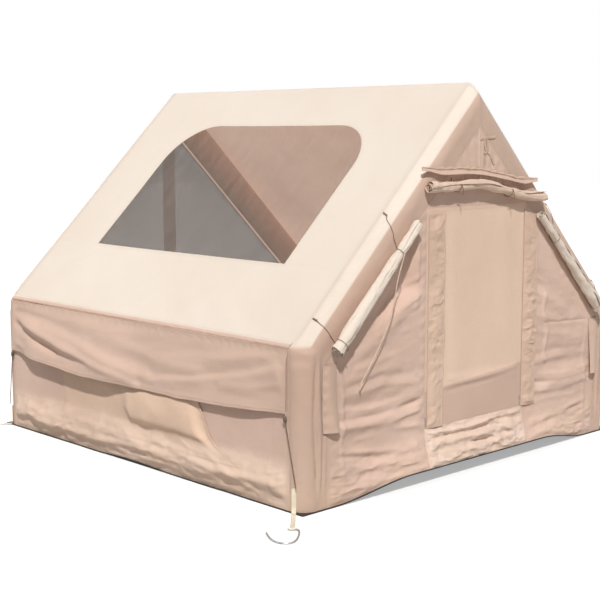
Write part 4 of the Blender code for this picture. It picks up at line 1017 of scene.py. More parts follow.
def beamSleeve(name, side, end, node):
    # the fabric channel round the outer corner of a beam: a quarter circle with a flat band on the
    # gable's face, carried up the leg, round the eave and up the rake. Its front edge is a sewn
    # seam, where it puckers; long soft wrinkles run along it and gather at the eave
    band, radius = tent["band"], sleeveRadius
    arc = radius * np.pi / 2
    bandRows, arcRows = 14, 34
    flat = np.linspace(-band, 0, bandRows)[:-1]
    angles = np.linspace(0, np.pi / 2, arcRows)
    out = np.concatenate([flat, radius * np.sin(angles)])
    reach = np.concatenate([np.full(len(flat), radius), radius * np.cos(angles)])
    across = np.concatenate([flat + band, band + angles * radius])
    legLength = eaveCorner[1] - onFloor
    rakeLength = np.hypot(eaveCorner[0], apexCorner[1] - eaveCorner[1])
    legRows, rakeRows = 78, 170
    t = np.concatenate([np.linspace(0, 1, legRows)[:-1], 1 + np.linspace(0, 1, rakeRows)])[:, None]
    onLeg = np.clip(t, 0, 1)
    onRake = np.clip(t - 1, 0, 1)
    walked = onLeg * legLength + onRake * rakeLength
    fromEave = walked - legLength
    puckerZone = bump(fromEave, 0, 0.10)
    outPart = np.clip(out / radius, 0, 1)[None]
    angleShare = np.clip((across[None] - band) / arc, 0, 1)
    long1 = noise(walked * 2.2, across[None] * 7, 31 + 2 * side + end, 3) * 0.0022
    gather = puckerZone * np.sin(walked * 95 + across[None] * 20) * 0.0016 * outPart
    sewn = (bump(across[None], 0.008, 0.010) * np.sin(walked * 120 + 3 * np.sin(walked * 13))
            * sleeve["pucker"] * 0.35)
    crease = bump(across[None], band, 0.018) * noise(walked * 9, 0, 77, 3) * 0.0014
    foot = smooth(walked, 0.0, 0.10)
    push = (np.minimum((long1 + gather + crease) * foot + sewn, 0.0022)
            * smooth(rakeLength + legLength - walked, 0, 0.05))
    swell = 1 + push / radius
    o, r = out[None] * np.where(out[None] > 0, swell, 1), reach[None] * swell
    # leg: straight up, then the mitre of the eave, then up the rake to the apex
    eaveRise = o * cosPitch / (1 + sinPitch)
    apexRise = o / cosPitch - tent["gap"] / 2 * tanPitch
    legX, legZ = eaveCorner[0] + o, onFloor + (eaveCorner[1] + eaveRise - onFloor) * onLeg
    rakeX = eaveCorner[0] + o + (tent["gap"] / 2 - eaveCorner[0] - o) * onRake
    rakeZ = eaveCorner[1] + eaveRise + (apexCorner[1] + apexRise - eaveCorner[1] - eaveRise) * onRake
    x = np.where(t <= 1, legX, rakeX)
    z = np.where(t <= 1, legZ, rakeZ)
    # the bend at the eave is a soft one: points near it are drawn in towards the chord
    near = np.exp(-((fromEave / 0.055) ** 2)) * outPart**2 * np.clip(reach[None] / radius * 1.6, 0, 1)
    x = x - near * 0.020 * sinPitch
    z = z - near * 0.012
    # upright folds down the leg's face
    legFold = 0
    for at, wide, depth in sleeve["legFolds"]:
        legFold = legFold + depth * bump(across[None], at + 0.006 * np.sin(walked * 9 + at * 50), wide)
    legFold = legFold * smooth(legLength - walked, -0.05, 0.12) * foot * smooth(walked, 0.02, 0.2)
    y = end * (beamY + r + legFold) + np.zeros_like(x)
    points = np.stack([side * x, y, z], axis=-1)
    # the roof's cloth comes round the rake as far as the sleeve's face, in the roof's palette painted paler
    # as if sunlit: a painted highlight along the rake's rounded edge; the leg is the walls' cloth
    onRoof = smooth(fromEave + 0.05 * (angleShare - 1), -0.01, 0.02)
    tone = smooth(angleShare + 0 * walked, 0.34, 0.42) * onRoof
    piece = clothSheet(name, points, sleeveCloth, facing=(side, end, 0.4), lined=True, tone=tone)
    dress(piece, "tent", "roof_cloth", node)


sleeveCloth = clothLook("sleeveCloth", dict(wallCanvas, pale=srgb(207, 180, 164), deep=srgb(196, 167, 151),
                                            crease=0.0026, other=sunPaintedRoofCanvas))
for endName, end in bothEnds:
    for sideName, side in bothSides:
        beamSleeve(f"{endName}_{sideName}_beam_sleeve", side, end, f"{endName}_{sideName}_sleeve")

sky = {"half": 0.80, "low": 0.48, "high": slopeLength - 0.30, "corner": 0.30, "seam": 0.025, "film": 0.0012}
roof = {"seamAt": 0.47, "sag": 0.010}


def skylightDistance(y, along):
    # how far outside the skylight's outline a place is, below 0 inside it
    corner = np.where(along > (sky["low"] + sky["high"]) / 2, sky["corner"], 0.004)
    middle, tall = (sky["low"] + sky["high"]) / 2, (sky["high"] - sky["low"]) / 2
    dx, dy = np.abs(y) - sky["half"] + corner, np.abs(along - middle) - tall + corner
    return np.hypot(np.maximum(dx, 0), np.maximum(dy, 0)) + np.minimum(np.maximum(dx, dy), 0) - corner


def roofRelief(y, along, side):
    # a stretched slope: it dips a little between the sleeves and the ridge, with shallow waves that
    # run from the corners, a welted seam across it and puckers along the eave
    u, v = (y + sideHalf) / (2 * sideHalf), along / slopeLength
    edges = edgeFade(u, 0.12) * smooth(v, 0, 0.10) * smooth(1 - v, 0, 0.06)
    dip = -roof["sag"] * np.sin(np.pi * u) * np.sin(np.pi * np.clip(v, 0, 1)) ** 0.8
    wave = noise(y * 1.1 + 0.5 * along, along * 1.3, 40 + side, 3) * 0.0035
    drag = 0.0016 * np.sin((y * side + along * 1.2) * 19 + noise(y, along, 3, 2) * 2) * bump(v, 0.05, 0.10)
    eaveLine = 0.0016 * np.sin(y * 64 + 2.5 * np.sin(y * 9)) * bump(along, 0.018, 0.018)
    seam = -0.0012 * bump(along, roof["seamAt"], 0.006)
    return np.minimum(dip + wave * edges + drag * edges, 0.0) + eaveLine - 0.0012 + seam


def outlinePoints(margin, count):
    # the skylight's outline as (y, along), evenly spaced, square below and rounded above
    side, low, high = sky["half"] + margin, sky["low"] - margin, sky["high"] + margin
    corner = sky["corner"] + margin
    line = [(-side, low, 0), (side, low, 0)]
    for start, sign in ((0, 1), (90, -1)):
        for angle in np.radians(np.linspace(start, start + 90, 40)):
            line.append((sign * (side - corner) + corner * np.cos(angle),
                         high - corner + corner * np.sin(angle), 0))
    return spaced(np.array([*line, line[0]]), count)[:-1, :2]


def ringSheet(name, y, along, out, thick, look, holed=False):
    # a sheet on the left slope in rings of points round a middle: the first column again at the end, a
    # layer behind it and a rim at its outer edge. One with a hole has a rim there too, and a lining
    points, uv = slopePoint(-1, along, y, out), np.stack([y, along], axis=-1)
    points, uv = (np.concatenate([grid, grid[:, :1]], axis=1) for grid in (points, uv))
    behind = points - np.array([-sinPitch, 0, cosPitch]) * thick
    index = numbered(points)
    lower = index + index.size
    cells = quads(index)
    faces = [cells, quads(lower)[:, ::-1], quads(np.stack([lower[-1], index[-1]]))]
    edge, inside = None, 0
    if holed:
        faces.insert(2, quads(np.stack([index[0], lower[0]])))
        y, along = uv[..., 0], uv[..., 1]
        away = np.minimum(sideHalf - np.abs(y), along)
        edge = np.concatenate([np.minimum(away, np.maximum(skylightDistance(y, along), 0)).ravel()] * 2)
        inside = (len(cells), 2 * len(cells))
    both = np.concatenate([points.reshape(-1, 3), behind.reshape(-1, 3)])
    return closedUp(newMesh(name, both, faces, look, np.concatenate([uv.reshape(-1, 2)] * 2), edge=edge,
                            lined=inside))


def roofPanel(name, side, node):
    # a slope as a grid; the left one is a ring of cloth between the skylight's outline and the
    # slope's edges, its rows spread from one to the other
    if side > 0:
        y = np.linspace(-sideHalf, sideHalf, 140)[:, None]
        along = np.linspace(0, slopeLength - tent["gap"], 100)[None]
        y, along = np.broadcast_arrays(y, along)
        points = slopePoint(side, along, y, roofRelief(y, along, side))
        piece = clothSheet(name, points, roofCloth, facing=(side * sinPitch, 0, cosPitch), lined=True)
    else:
        around = 560
        inner = outlinePoints(0, around + 1)
        centre = np.array([0, (sky["low"] + sky["high"]) / 2])
        way = inner - centre
        low, high = np.array([-sideHalf, 0.0]), np.array([sideHalf, slopeLength - tent["gap"]])
        reachHigh = np.where(way > 0, (high - centre) / np.where(way == 0, 1e-9, way),
                             (low - centre) / np.where(way == 0, 1e-9, way))
        outer = centre + way * np.min(np.abs(reachHigh), axis=1)[:, None]
        corners = np.array([[-sideHalf, 0], [sideHalf, 0], [sideHalf, high[1]], [-sideHalf, high[1]]])
        for corner in corners:
            outer[np.argmin(np.linalg.norm(outer - corner, axis=1))] = corner
        part = np.array([0, 0.004, 0.012, 0.03, *np.linspace(0.06, 0.94, 24), 0.97, 0.99, 1.0])[:, None, None]
        flat = inner[None] * (1 - part) + outer[None] * part
        y, along = flat[..., 0], flat[..., 1]
        lifted = roofRelief(y, along, side) + 0.0007 * bump(part[..., 0], 0.012, 0.01)
        piece = ringSheet(name, y, along, lifted, tent["cloth"], roofCloth, holed=True)
    dress(piece, "tent", "roof_cloth", node)
    skylightArea = 2 * sky["half"] * (sky["high"] - sky["low"]) - 2 * sky["corner"] ** 2 * (1 - np.pi / 4)
    area = 2 * sideHalf * slopeLength - (skylightArea if side < 0 else 0)


def skylight():
    # the film behind the opening, sewn to the slope all round
    ring = outlinePoints(sky["seam"], 321)
    centre = np.array([0, (sky["low"] + sky["high"]) / 2])
    part = np.linspace(0, 1, 40)[:, None, None] ** 0.8
    flat = centre + (ring[None] - centre) * part
    y, along = flat[..., 0], flat[..., 1]
    v = (along - sky["low"]) / (sky["high"] - sky["low"])
    inside = smooth(-skylightDistance(y, along), 0, 0.08)
    ripples = (noise(y * 2.4 + 3, along * 2.2, 5, 3) * 0.004 * inside
               + 0.002 * np.sin((y + along * 0.6) * 26) * inside * bump(v, 0.05, 0.12))
    u = (y + sideHalf) / (2 * sideHalf)
    out = (np.minimum(-0.0125 * np.sin(np.pi * u) * inside + ripples * 0.6, 0) - tent["room"] - tent["gap"]
           - roof["sag"] * np.sin(np.pi * u) * np.sin(np.pi * along / slopeLength) ** 0.8)
    piece = ringSheet("skylight_film", y, along, out, sky["film"], windowFilm)
    dress(piece, "tent", "window_film", "skylight_window")
    wide, tall = 2 * (sky["half"] + sky["seam"]), sky["high"] - sky["low"] + 2 * sky["seam"]
    area = wide * tall - 2 * (sky["corner"] + sky["seam"]) ** 2 * (1 - np.pi / 4)


def eaveWelt(name, side):
    # the roof's rolled edge: a curve with its middle point raised off the slope, ending at the
    # slope's own edge, so that the flap can lift under it; gathered a little by its thread
    y = np.linspace(-sideHalf, sideHalf, 340)[:, None]
    t = np.linspace(0, 1, 17)[None]
    soft = noise(y * 5, 0, 45 + side, 3)
    first = slopePoint(side, 0.034, y, 0.0004)
    middle = slopePoint(side, 0.004, y, 0.0110 + 0.0015 * soft)
    last = slopePoint(side, -0.0006, y, 0.0002)
    points = (first * ((1 - t) ** 2)[..., None] + middle * (2 * t * (1 - t))[..., None]
              + last * (t**2)[..., None])
    gather = ((0.0008 * np.sin(y * 92 + 3 * np.sin(y * 8)) + 0.0014 * noise(y * 11, t * 2, 46, 2))
              * bump(t, 0.6, 0.22))
    points = points + gather[..., None] * np.array([side * sinPitch, 0, cosPitch])
    # the welt's upper side takes the roof's palette, painted paler as if sunlit, and its downturned lip keeps
    # the walls' darker colours: painted light and shade
    tone = smooth(-t, -0.34, -0.12) + 0 * y
    piece = clothSheet(name, points, weltCloth, facing=(side, 0, 0.6), tone=tone)
    dress(piece, "tent", "roof_cloth")


weltCloth = clothLook("weltCloth", dict(wallCanvas, pale=srgb(226, 198, 184), deep=srgb(214, 184, 170),
                                        crease=0.002, hem=0.004, other=sunPaintedRoofCanvas))
eaveWelt("left_eave_welt", -1)
eaveWelt("right_eave_welt", 1)
roofPanel("left_roof_cloth", -1, "left_roof_panel")
roofPanel("right_roof_cloth", 1, "right_roof_panel")
skylight()
print("beams, sleeves and roof made")


# Side walls, the window covers over them and the flaps under the eave

skirt = {"height": 0.22, "bulge": 0.016, "end": 0.16}
sideWrinkles = (
    (((0.95, 0.10), (0.35, 0.075), (-0.30, 0.12)), 0.022, 0.006),
    (((0.50, 0.155), (-0.10, 0.135)), 0.020, 0.005),
    (((-0.20, 0.17), (-0.70, 0.11), (-1.10, 0.125)), 0.020, 0.007),
    (((-0.62, 0.18), (-1.00, 0.055)), 0.016, 0.004),
    (((0.15, 0.06), (-0.45, 0.05)), 0.016, 0.005),
    (((1.08, 0.17), (0.70, 0.12)), 0.018, 0.004),
)


def offSide(side, out, y, z):
    # a point out metres from a side wall's plane
    return np.stack([side * (halfWidth + out), y, z], axis=-1)


def skirtOut(y, z):
    # the solid side wall's own bulge at its foot: an arch in height, fading at the ends
    rise = np.clip((z - onFloor) / skirt["height"], 0, 1)
    ends = smooth(sideHalf - np.abs(y), 0, skirt["end"])
    return skirt["bulge"] * np.sin(np.pi * rise) * ends * (1 + 0.25 * np.sin(y * 9 + 1))


def sideRelief(y, z):
    # the cloth at the foot: folds, soft crumples and a roll of slack with a steep lower side
    low = smooth(0.28 - z, 0, 0.16)
    crumple = folds(y, z, sideWrinkles) * smooth(0.24 - z, 0, 0.05) * 1.7
    sharp = crests(y * 5.6 + z * 5, z * 9 - y * 1.6, 51)
    crumple = crumple + (sharp * 0.0095 + noise(y * 13, z * 17, 52, 2) * 0.003) * low
    crest = 0.105 + 0.022 * noise(y * 2.1, 0, 54, 2)
    crumple = (crumple + 0.022 * np.exp(-(((z - crest) / np.where(z > crest, 0.062, 0.036)) ** 2))
               * (0.75 + 0.35 * noise(y * 3.3, 0, 55, 2)))
    return crumple


def sideTone(y, z):
    # 1 on the skirt's cloth below a wavering line, 0 above it
    return smooth(0.215 - z + 0.03 * noise(y * 4, 0, 56, 2), -0.03, 0.03)


def sideWall(name, side, node):
    # the side's lower cloth: slack and crumpled at the foot, drawn flat higher up, with two upright
    # seams; its outward bulge follows the solid's
    y = np.linspace(-sideHalf, sideHalf, 250)[None]
    z = np.concatenate([np.linspace(onFloor, skirt["height"], 52)[:-1],
                        np.linspace(skirt["height"], eaveUnderside, 38)])[:, None]
    y, z = np.broadcast_arrays(y, z)
    part = (z - onFloor) / (eaveUnderside - onFloor)
    edges = smooth(sideHalf - np.abs(y), 0, 0.06) * smooth(z, onFloor, onFloor + 0.03)
    plain = noise(y * 1.6, z * 2.2, 53, 3) * 0.004 * edgeFade(part, 0.12)
    seams = sum(0.0016 * bump(y, at, 0.005) - 0.001 * bump(y, at + 0.012, 0.005) for at in (0.66, -1.10))
    out = skirtOut(y, z) + (sideRelief(y, z) + np.minimum(plain, 0.0)) * edges + seams * edges
    points = offSide(side, out, y, z)
    piece = clothSheet(name, points, sideCloth, facing=(side, 0, 0), lined=True, tone=sideTone(y, z))
    dress(piece, "tent", "wall_cloth", node)


sideCloth = clothLook("sideCloth", dict(wallCanvas, other=skirtCanvas))
coverCloth = clothLook("coverCloth", dict(coverCanvas, other=skirtCanvas))
cover = {
    "top": 0.70, "bottom": 0.15, "rear": 0.67, "slack": 0.003, "pipe": 0.0026, "clear": 0.0016,
    "frontAt": ((0.15, 0.163, 0.204, 0.261, 0.364, 0.455, 0.70),
                (-0.93, -0.86, -0.705, -0.632, -0.584, -0.525, -0.47)),
}


def wallOut(y, z):
    # the wall's own outermost reach under the cover
    return skirtOut(y, z) + np.maximum(sideRelief(y, z), 0) * smooth(sideHalf - np.abs(y), 0, 0.06)


def coverOut(y, z, part, across):
    # how far the cover lies out from the wall's plane: the wall's reach, its stand, slack and belly
    slack = cover["slack"] * smooth(1 - part, 0.04, 0.27)
    belly = (plainRidge(y, z, ((-0.40, 0.36), (0.10, 0.34)), 0.10, 0.014) * edgeFade(across, 0.2)
             * edgeFade(part, 0.2))
    # its lower hem and its rear edge are sewn down on the wall
    sewnDown = smooth(part, 0, 0.09) * smooth(1 - across, 0, 0.04)
    stand = 0.0016 + (tent["gap"] + tent["room"] - 0.0016) * sewnDown
    return stand + wallOut(y, z) + slack * sewnDown + belly


def windowCover(name, side, node):
    # the loose cover of a side window: straight behind, swept in front, with a piped edge that
    # catches the light and a soft belly
    part = np.linspace(0, 1, 70)[:, None]
    across = np.linspace(0, 1, 190)[None]
    z = cover["bottom"] + (cover["top"] - cover["bottom"]) * part
    heights = np.linspace(cover["bottom"], cover["top"], 70)
    front = np.interp(heights, *cover["frontAt"])
    front = np.convolve(np.pad(front, 3, mode="edge"), np.ones(7) / 7, mode="valid")[:, None]
    y = front + (cover["rear"] - front) * across
    z = np.broadcast_to(z, y.shape)
    fade = edgeFade(across, 0.06) * edgeFade(part, 0.08)
    soft = noise(y * 2.4, z * 4, 61, 3) * 0.0045 + noise(y * 8, z * 9, 62, 2) * 0.0015
    # a slack pouch in its front half faces up to the light, down to a crest, and turns under below
    crest = 0.275 + 0.05 * smooth(y, -0.02, 0.06) - 0.02 * smooth(-y, 0.3, 0.6)
    pouch = np.where(z > crest, 1 - smooth(z, crest, 0.50), np.exp(-(((z - crest) / 0.05) ** 2)))
    soft = (soft + 0.034 * pouch * smooth(0.10 - y, 0, 0.12) * smooth(y - front, 0.01, 0.10)
            * (0.85 + 0.3 * noise(y * 6, z * 8, 63, 2)))
    drape = 0.004 * np.sin(y * 17 + z * 9) * bump(part, 0.95, 0.2)
    alongEdge = y - front
    pipe = (cover["pipe"] * bump(alongEdge, 0.006, 0.005) + 0.0012 * np.sin(z * 150)
            * bump(alongEdge, 0.012, 0.012))
    out = (coverOut(y, z, part, across) + (soft + drape) * fade * smooth(part, 0.05, 0.2)
           + pipe * smooth(part, 0, 0.1))
    out = np.maximum(out, wallOut(y, z) + cover["clear"])
    points = offSide(side, out, y, z)
    piece = clothSheet(name, points, coverCloth, facing=(side, 0, 0), tone=sideTone(y, z))
    dress(piece, "tent", "wall_cloth", node)


flapCloth = clothLook("flapCloth", dict(wallCanvas, pale=srgb(222, 192, 176), deep=srgb(206, 177, 161),
                                        broad=0.7))
flapDetail = (
    (((1.10, 0.655), (0.92, 0.628), (0.60, 0.560), (0.20, 0.500), (-0.05, 0.470)), 0.030, 0.015, 0.05),
    (((0.80, 0.655), (0.50, 0.610), (0.15, 0.530), (-0.20, 0.490)), 0.032, 0.014, 0.05),
    (((0.95, 0.560), (0.62, 0.520), (0.35, 0.495)), 0.024, -0.008),
    (((0.42, 0.545), (0.10, 0.500), (-0.10, 0.460)), 0.022, -0.008),
    (((-0.20, 0.515), (-0.55, 0.560), (-0.95, 0.640), (-1.14, 0.700)), 0.026, -0.012, 0.2),
    (((-0.75, 0.530), (-1.00, 0.560), (-1.16, 0.600)), 0.028, 0.008),
    (((-0.30, 0.620), (-0.70, 0.660), (-1.05, 0.720)), 0.030, 0.006),
    (((0.10, 0.640), (-0.30, 0.590), (-0.60, 0.580)), 0.030, 0.004),
    (((1.16, 0.52), (1.02, 0.50)), 0.020, 0.006),
    (((1.16, 0.63), (0.96, 0.585), (0.66, 0.525)), 0.026, -0.016),
    (((1.14, 0.705), (0.84, 0.685), (0.52, 0.640)), 0.030, -0.010),
)


def windowFlap(name, side, node):
    # the flap under the eave: sewn along the top with small puckers, standing off below, with long
    # slanting folds and a scalloped lower hem
    y = np.linspace(-flapHalf, flapHalf, 300)[None]
    part = np.linspace(0, 1, 70)[:, None]
    scallop = 0.009 * noise(y * 4.4, 0, 71, 3) * smooth(flapHalf - np.abs(y), 0, 0.06)
    z = flapBottom(y) + (flapTop - flapBottom(y)) * part + scallop * (1 - part) ** 2
    y = np.broadcast_to(y, z.shape)
    fade = smooth(1 - part, 0, 0.22) * smooth(flapHalf - np.abs(y), 0, 0.05)
    detail = folds(y, z, flapDetail) * fade * 1.1
    small = (noise(y * 3.1 + z * 4, z * 9, 72, 3) * 0.0055 + noise(y * 9, z * 16, 73, 2) * 0.0012) * fade
    puckers = 0.0014 * np.sin(y * 88 + 4 * np.sin(y * 7)) * bump(1 - part, 0.035, 0.05)
    hem = 0.0012 * bump((1 - part) * 0.32, 0.304, 0.0035)
    # the wind has the rear half of the hem standing further off, up to its rear corner
    blown = 0.036 * (1 - part) ** 0.75 * smooth(y, -0.10, 0.25) * smooth(1.12 - y, 0, 0.25)
    out = flapStand(y, part) + detail + small + puckers + hem + blown
    out = np.maximum(out, tent["gap"] + tent["room"])
    points = offSide(side, out, y, z)
    piece = clothSheet(name, points, flapCloth, facing=(side, 0, 0))
    dress(piece, f"{name.split('_')[0]}_flap", "wall_cloth", node)


for sideName, side in bothSides:
    sideWall(f"{sideName}_side_cloth", side, f"{sideName}_side_wall")
    windowCover(f"{sideName}_window_cover", side, f"{sideName}_window_curtain")
    windowFlap(f"{sideName}_eave_flap", side, f"{sideName}_window_flap")
print("sides made")


# Front gable

front = {"doorHalf": 0.405, "doorBottom": 0.27, "doorTop": 1.375, "hemRise": 0.068, "sillReach": 0.045,
         "flapWidth": 0.120, "flapMargin": 0.014}
hemStart = sleeveRadius + 1.4 * tent["beam"]
calmEdge = front["doorHalf"] + front["flapWidth"]


def hemPart(x):
    # 0 at the legs, 1 in the middle, where the front hem is lifted
    return smooth(halfWidth - np.abs(x), hemStart, hemStart + 0.50)


def sillPush(x, z):
    # how far the cloth under the door's level is pushed out, growing towards the hem
    hem = front["hemRise"] * hemPart(x) + onFloor
    low = np.clip((front["doorBottom"] - z) / (front["doorBottom"] - hem), 0, 1)
    return front["sillReach"] * hemPart(x) * low**1.5


def frontSheet(name, x, z, out, look, sewnOn=False, thick=None, lined=False, tone=None):
    # a sheet on the front gable, out metres before its plane, or before the cloth it is sewn on
    lift = tent["room"] + tent["gap"] if sewnOn else 0
    points = np.stack(np.broadcast_arrays(x, -halfDepth - lift - out, z), axis=-1)
    return clothSheet(name, points, look, facing=(0, -1, 0), thick=thick, lined=lined, tone=tone)


wallFolds = (
    (((0.99, 0.37), (0.45, 0.36)), 0.040, 0.014),
    (((0.97, 0.47), (0.47, 0.46)), 0.030, -0.008),
    (((0.86, 0.72), (0.50, 0.90)), 0.040, 0.010),
    (((0.95, 0.58), (0.55, 0.64)), 0.045, 0.007),
)
wallDetail = (
    (((1.02, 0.405), (0.75, 0.395), (0.43, 0.425)), 0.015, -0.014),
    (((1.01, 0.375), (0.72, 0.350), (0.42, 0.378)), 0.016, 0.009, 0.2),
    (((1.03, 0.452), (0.80, 0.435), (0.56, 0.455)), 0.014, 0.006),
    (((0.90, 0.300), (0.62, 0.310), (0.44, 0.300)), 0.016, 0.007),
    (((1.00, 0.255), (0.72, 0.215), (0.48, 0.205)), 0.016, 0.008),
    (((1.02, 0.235), (0.75, 0.190), (0.50, 0.175)), 0.015, -0.007),
    (((0.90, 0.150), (0.70, 0.147), (0.46, 0.140)), 0.018, 0.008),
    (((1.00, 0.060), (0.72, 0.085), (0.52, 0.060)), 0.018, 0.007),
    (((0.84, 0.790), (0.66, 0.900), (0.44, 1.030)), 0.055, -0.020),
    (((0.80, 0.800), (0.62, 0.870), (0.42, 0.965)), 0.016, 0.008, 0.3),
    (((0.77, 0.760), (0.58, 0.830), (0.42, 0.900)), 0.015, -0.008),
    (((0.74, 0.740), (0.56, 0.780), (0.42, 0.815)), 0.016, 0.007, 0.3),
    (((0.62, 0.960), (0.52, 1.000), (0.42, 1.060)), 0.016, 0.006),
    (((0.90, 0.640), (0.66, 0.680), (0.43, 0.720)), 0.020, 0.005),
    (((0.96, 0.560), (0.72, 0.585), (0.50, 0.570)), 0.018, -0.005),
    (((0.98, 0.520), (0.70, 0.540), (0.45, 0.520)), 0.018, 0.005),
    (((0.46, 1.28), (0.46, 1.00), (0.50, 0.70)), 0.018, 0.004),
    (((1.02, 0.70), (0.985, 0.50), (1.00, 0.30), (0.98, 0.10)), 0.014, 0.006),
)


wallHollow = {"crease": 0.975, "slope": 0.45, "depth": 0.050}


def frontWall(name, side, node):
    # the cloth between a leg and the door: creases fan out from the door's seam, sag across it and
    # crumple at the hem
    xTo = front["doorHalf"] + tent["gap"]
    x = np.linspace(legInner, xTo, 130)[None]
    low = onFloor + front["hemRise"] * hemPart(x)
    high = np.minimum(rakeLimit(x, sleeveEdge + tent["gap"]), front["doorTop"])
    part = np.linspace(0, 1, 220)[:, None]
    z = low + (high - low) * part
    x = np.broadcast_to(x, z.shape)
    across = (x - xTo) / (legInner - xTo)
    calm = (smooth(x, calmEdge, calmEdge + front["flapWidth"]) * smooth(1 - across, 0, 0.2)
            * edgeFade(part, 0.10))
    base = sum(plainRidge(x, z, *row) for row in wallFolds)
    fade = (smooth(across, 0.0, 0.10) * smooth(1 - across, 0, 0.07) * smooth(high - z, 0, 0.05)
            * smooth(z - low, 0, 0.02))
    covered = 1 if side < 0 else smooth(x, 0.50, 0.56)
    shift = 0 if side < 0 else 0.035
    mirrored = 1.0 if side < 0 else 0.65
    uneven = np.clip(0.75 + 1.1 * noise(x * 4.5, z * 5, 87 + side, 2), 0.1, 1.6)
    detail = folds(x, z + shift, wallDetail) * fade * mirrored * 1.45 * uneven
    small = ((noise(x * 5, z * 11, 81 + side, 3) * 0.0055 + noise(x * 15, z * 22, 82 + side, 2) * 0.0018)
             * fade)
    hemLow = smooth(0.26 - z, 0, 0.14)
    sharp = crests(x * 5 + z * 6, z * 13 - x * 2, 85 + side)
    small = small + (sharp * 0.010 + noise(x * 14, z * 26, 86, 2) * 0.003) * hemLow * fade
    if side > 0:
        # the right wall's own lines: a level seam and a wavy upright fold beside the door
        small = small + plainRidge(x, z, ((0.60, 0.705), (1.00, 0.685)), 0.007, -0.004) * fade
        small = (small + plainRidge(x + 0.012 * np.sin(z * 26), z, ((0.600, 0.86), (0.615, 0.50)), 0.014,
                                    0.008) * fade)
    sewn = 0.0016 * np.sin(z * 95) * bump(across, 0.03, 0.04) * smooth(across, 0, 0.01) * covered
    # above its slanting crease the left wall falls back from the roll to the door's strip
    crease = wallHollow["crease"] - wallHollow["slope"] * (x - xTo)
    hollow = (smooth(z - crease, 0, 0.09) * smooth(0.82 - x, 0, 0.26) * smooth(x, 0.455, 0.535)
              * smooth(high - z, 0, 0.05))
    small = small * (1 - 0.6 * hollow) - (wallHollow["depth"] * hollow if side < 0 else 0)
    out = sillPush(x, z) + calm * base + detail + small + sewn
    piece = frontSheet(name, side * x, z, out, wallCloth, lined=True)
    dress(piece, "tent", "wall_cloth", node)


def gablePeak():
    # the triangle above the door, drawn tight, with an upright seam in its middle
    tip = rakeLimit(0, sleeveEdge + tent["gap"]) - 0.001
    z = np.linspace(front["doorTop"] + tent["gap"], tip, 60)[:, None]
    half = (rakeLimit(0, sleeveEdge + tent["gap"]) - z) / tanPitch
    across = np.linspace(-1, 1, 121)[None]
    x = half * across
    z = np.broadcast_to(z, x.shape)
    fade = smooth(half * (1 - np.abs(across)), 0, 0.03) * smooth(z, front["doorTop"], front["doorTop"] + 0.03)
    seam = 0.0022 * bump(x, 0.0, 0.005) - 0.0014 * bump(x, 0.012, 0.006)
    rays = 0.0016 * np.sin(np.arctan2(z - 1.36, x) * 26) * smooth(z, 1.38, 1.5)
    out = (noise(x * 3.5, z * 5, 91, 3) * 0.0035 + rays) * fade + seam * fade
    piece = frontSheet("front_gable_cloth", x, z, np.maximum(out, -0.002), wallCloth, lined=True)
    dress(piece, "tent", "wall_cloth", "front_gable_peak")


doorFolds = (
    (((-0.40, 0.50), (0.40, 0.47)), 0.030, 0.006),
    (((-0.25, 1.28), (-0.15, 0.60)), 0.09, 0.006),
    (((0.22, 1.30), (0.25, 0.70)), 0.08, 0.005),
)
doorDetail = (
    (((-0.26, 0.462), (0.05, 0.476), (0.37, 0.500)), 0.010, 0.004, 0.2),
    (((-0.24, 0.440), (0.10, 0.452), (0.37, 0.474)), 0.012, -0.003),
)


# the door's colours, darker below a slanting line low down
doorDarkerLow = clothLook("doorDarkerLow", dict(doorCanvas, other=dict(pale=srgb(216, 186, 171),
                                                                   deep=srgb(206, 176, 160))))


def door():
    # the door panel: smooth, with long soft swells hanging from under the roll, and darker below a slanting
    # line low down
    half = front["doorHalf"] - tent["gap"]
    part = np.linspace(0, 1, 150)[:, None]
    z = front["doorBottom"] + (front["doorTop"] - front["doorBottom"]) * part
    flatLeft, flatRight = front["flapWidth"] + front["flapMargin"] - half, half - front["flapMargin"] - 0.014
    x = np.linspace(-half, half, 130)[None]
    x, z = np.broadcast_arrays(x, z)
    calm = (smooth(x, flatLeft, flatLeft + 0.08) * smooth(-x, -flatRight, 0.08 - flatRight)
            * edgeFade(part, 0.10))
    base = sum(plainRidge(x, z, *row) for row in doorFolds)
    fade = (smooth(x, flatLeft, flatLeft + 0.03) * smooth(-x, -flatRight, 0.03 - flatRight)
            * edgeFade(part, 0.03))
    soft = (noise(x * 3, z * 2.6, 95, 3) * 0.0026 + noise(x * 10, z * 12, 96, 2) * 0.002
            * smooth(0.36 - z, 0, 0.10))
    out = calm * base + fade * (folds(x, z, doorDetail) + soft)
    # below this slanting line the door's colour is darker
    line = 0.468 + 0.045 * (x + 0.27) / 0.64
    piece = frontSheet("door_cloth", x, z, out, doorDarkerLow, lined=True, tone=smooth(line - z, -0.006, 0.004))
    dress(piece, "door", "door_cloth", "door_panel")


sillFolds = (
    (((-0.38, 0.245), (-0.10, 0.232), (0.16, 0.247), (0.38, 0.240)), 0.012, 0.008),
    (((-0.34, 0.215), (-0.05, 0.205), (0.25, 0.222)), 0.014, -0.007),
    (((-0.36, 0.180), (-0.12, 0.190), (0.16, 0.176), (0.38, 0.190)), 0.018, 0.008),
    (((-0.30, 0.130), (0.05, 0.118), (0.36, 0.142)), 0.020, 0.008),
    (((-0.10, 0.155), (0.12, 0.140)), 0.014, -0.006),
    (((0.12, 0.255), (0.22, 0.190), (0.30, 0.150)), 0.014, 0.006),
)


sillCloth = clothLook("sillCloth", dict(wallCanvas, pale=srgb(238, 216, 202), deep=srgb(222, 197, 181)))


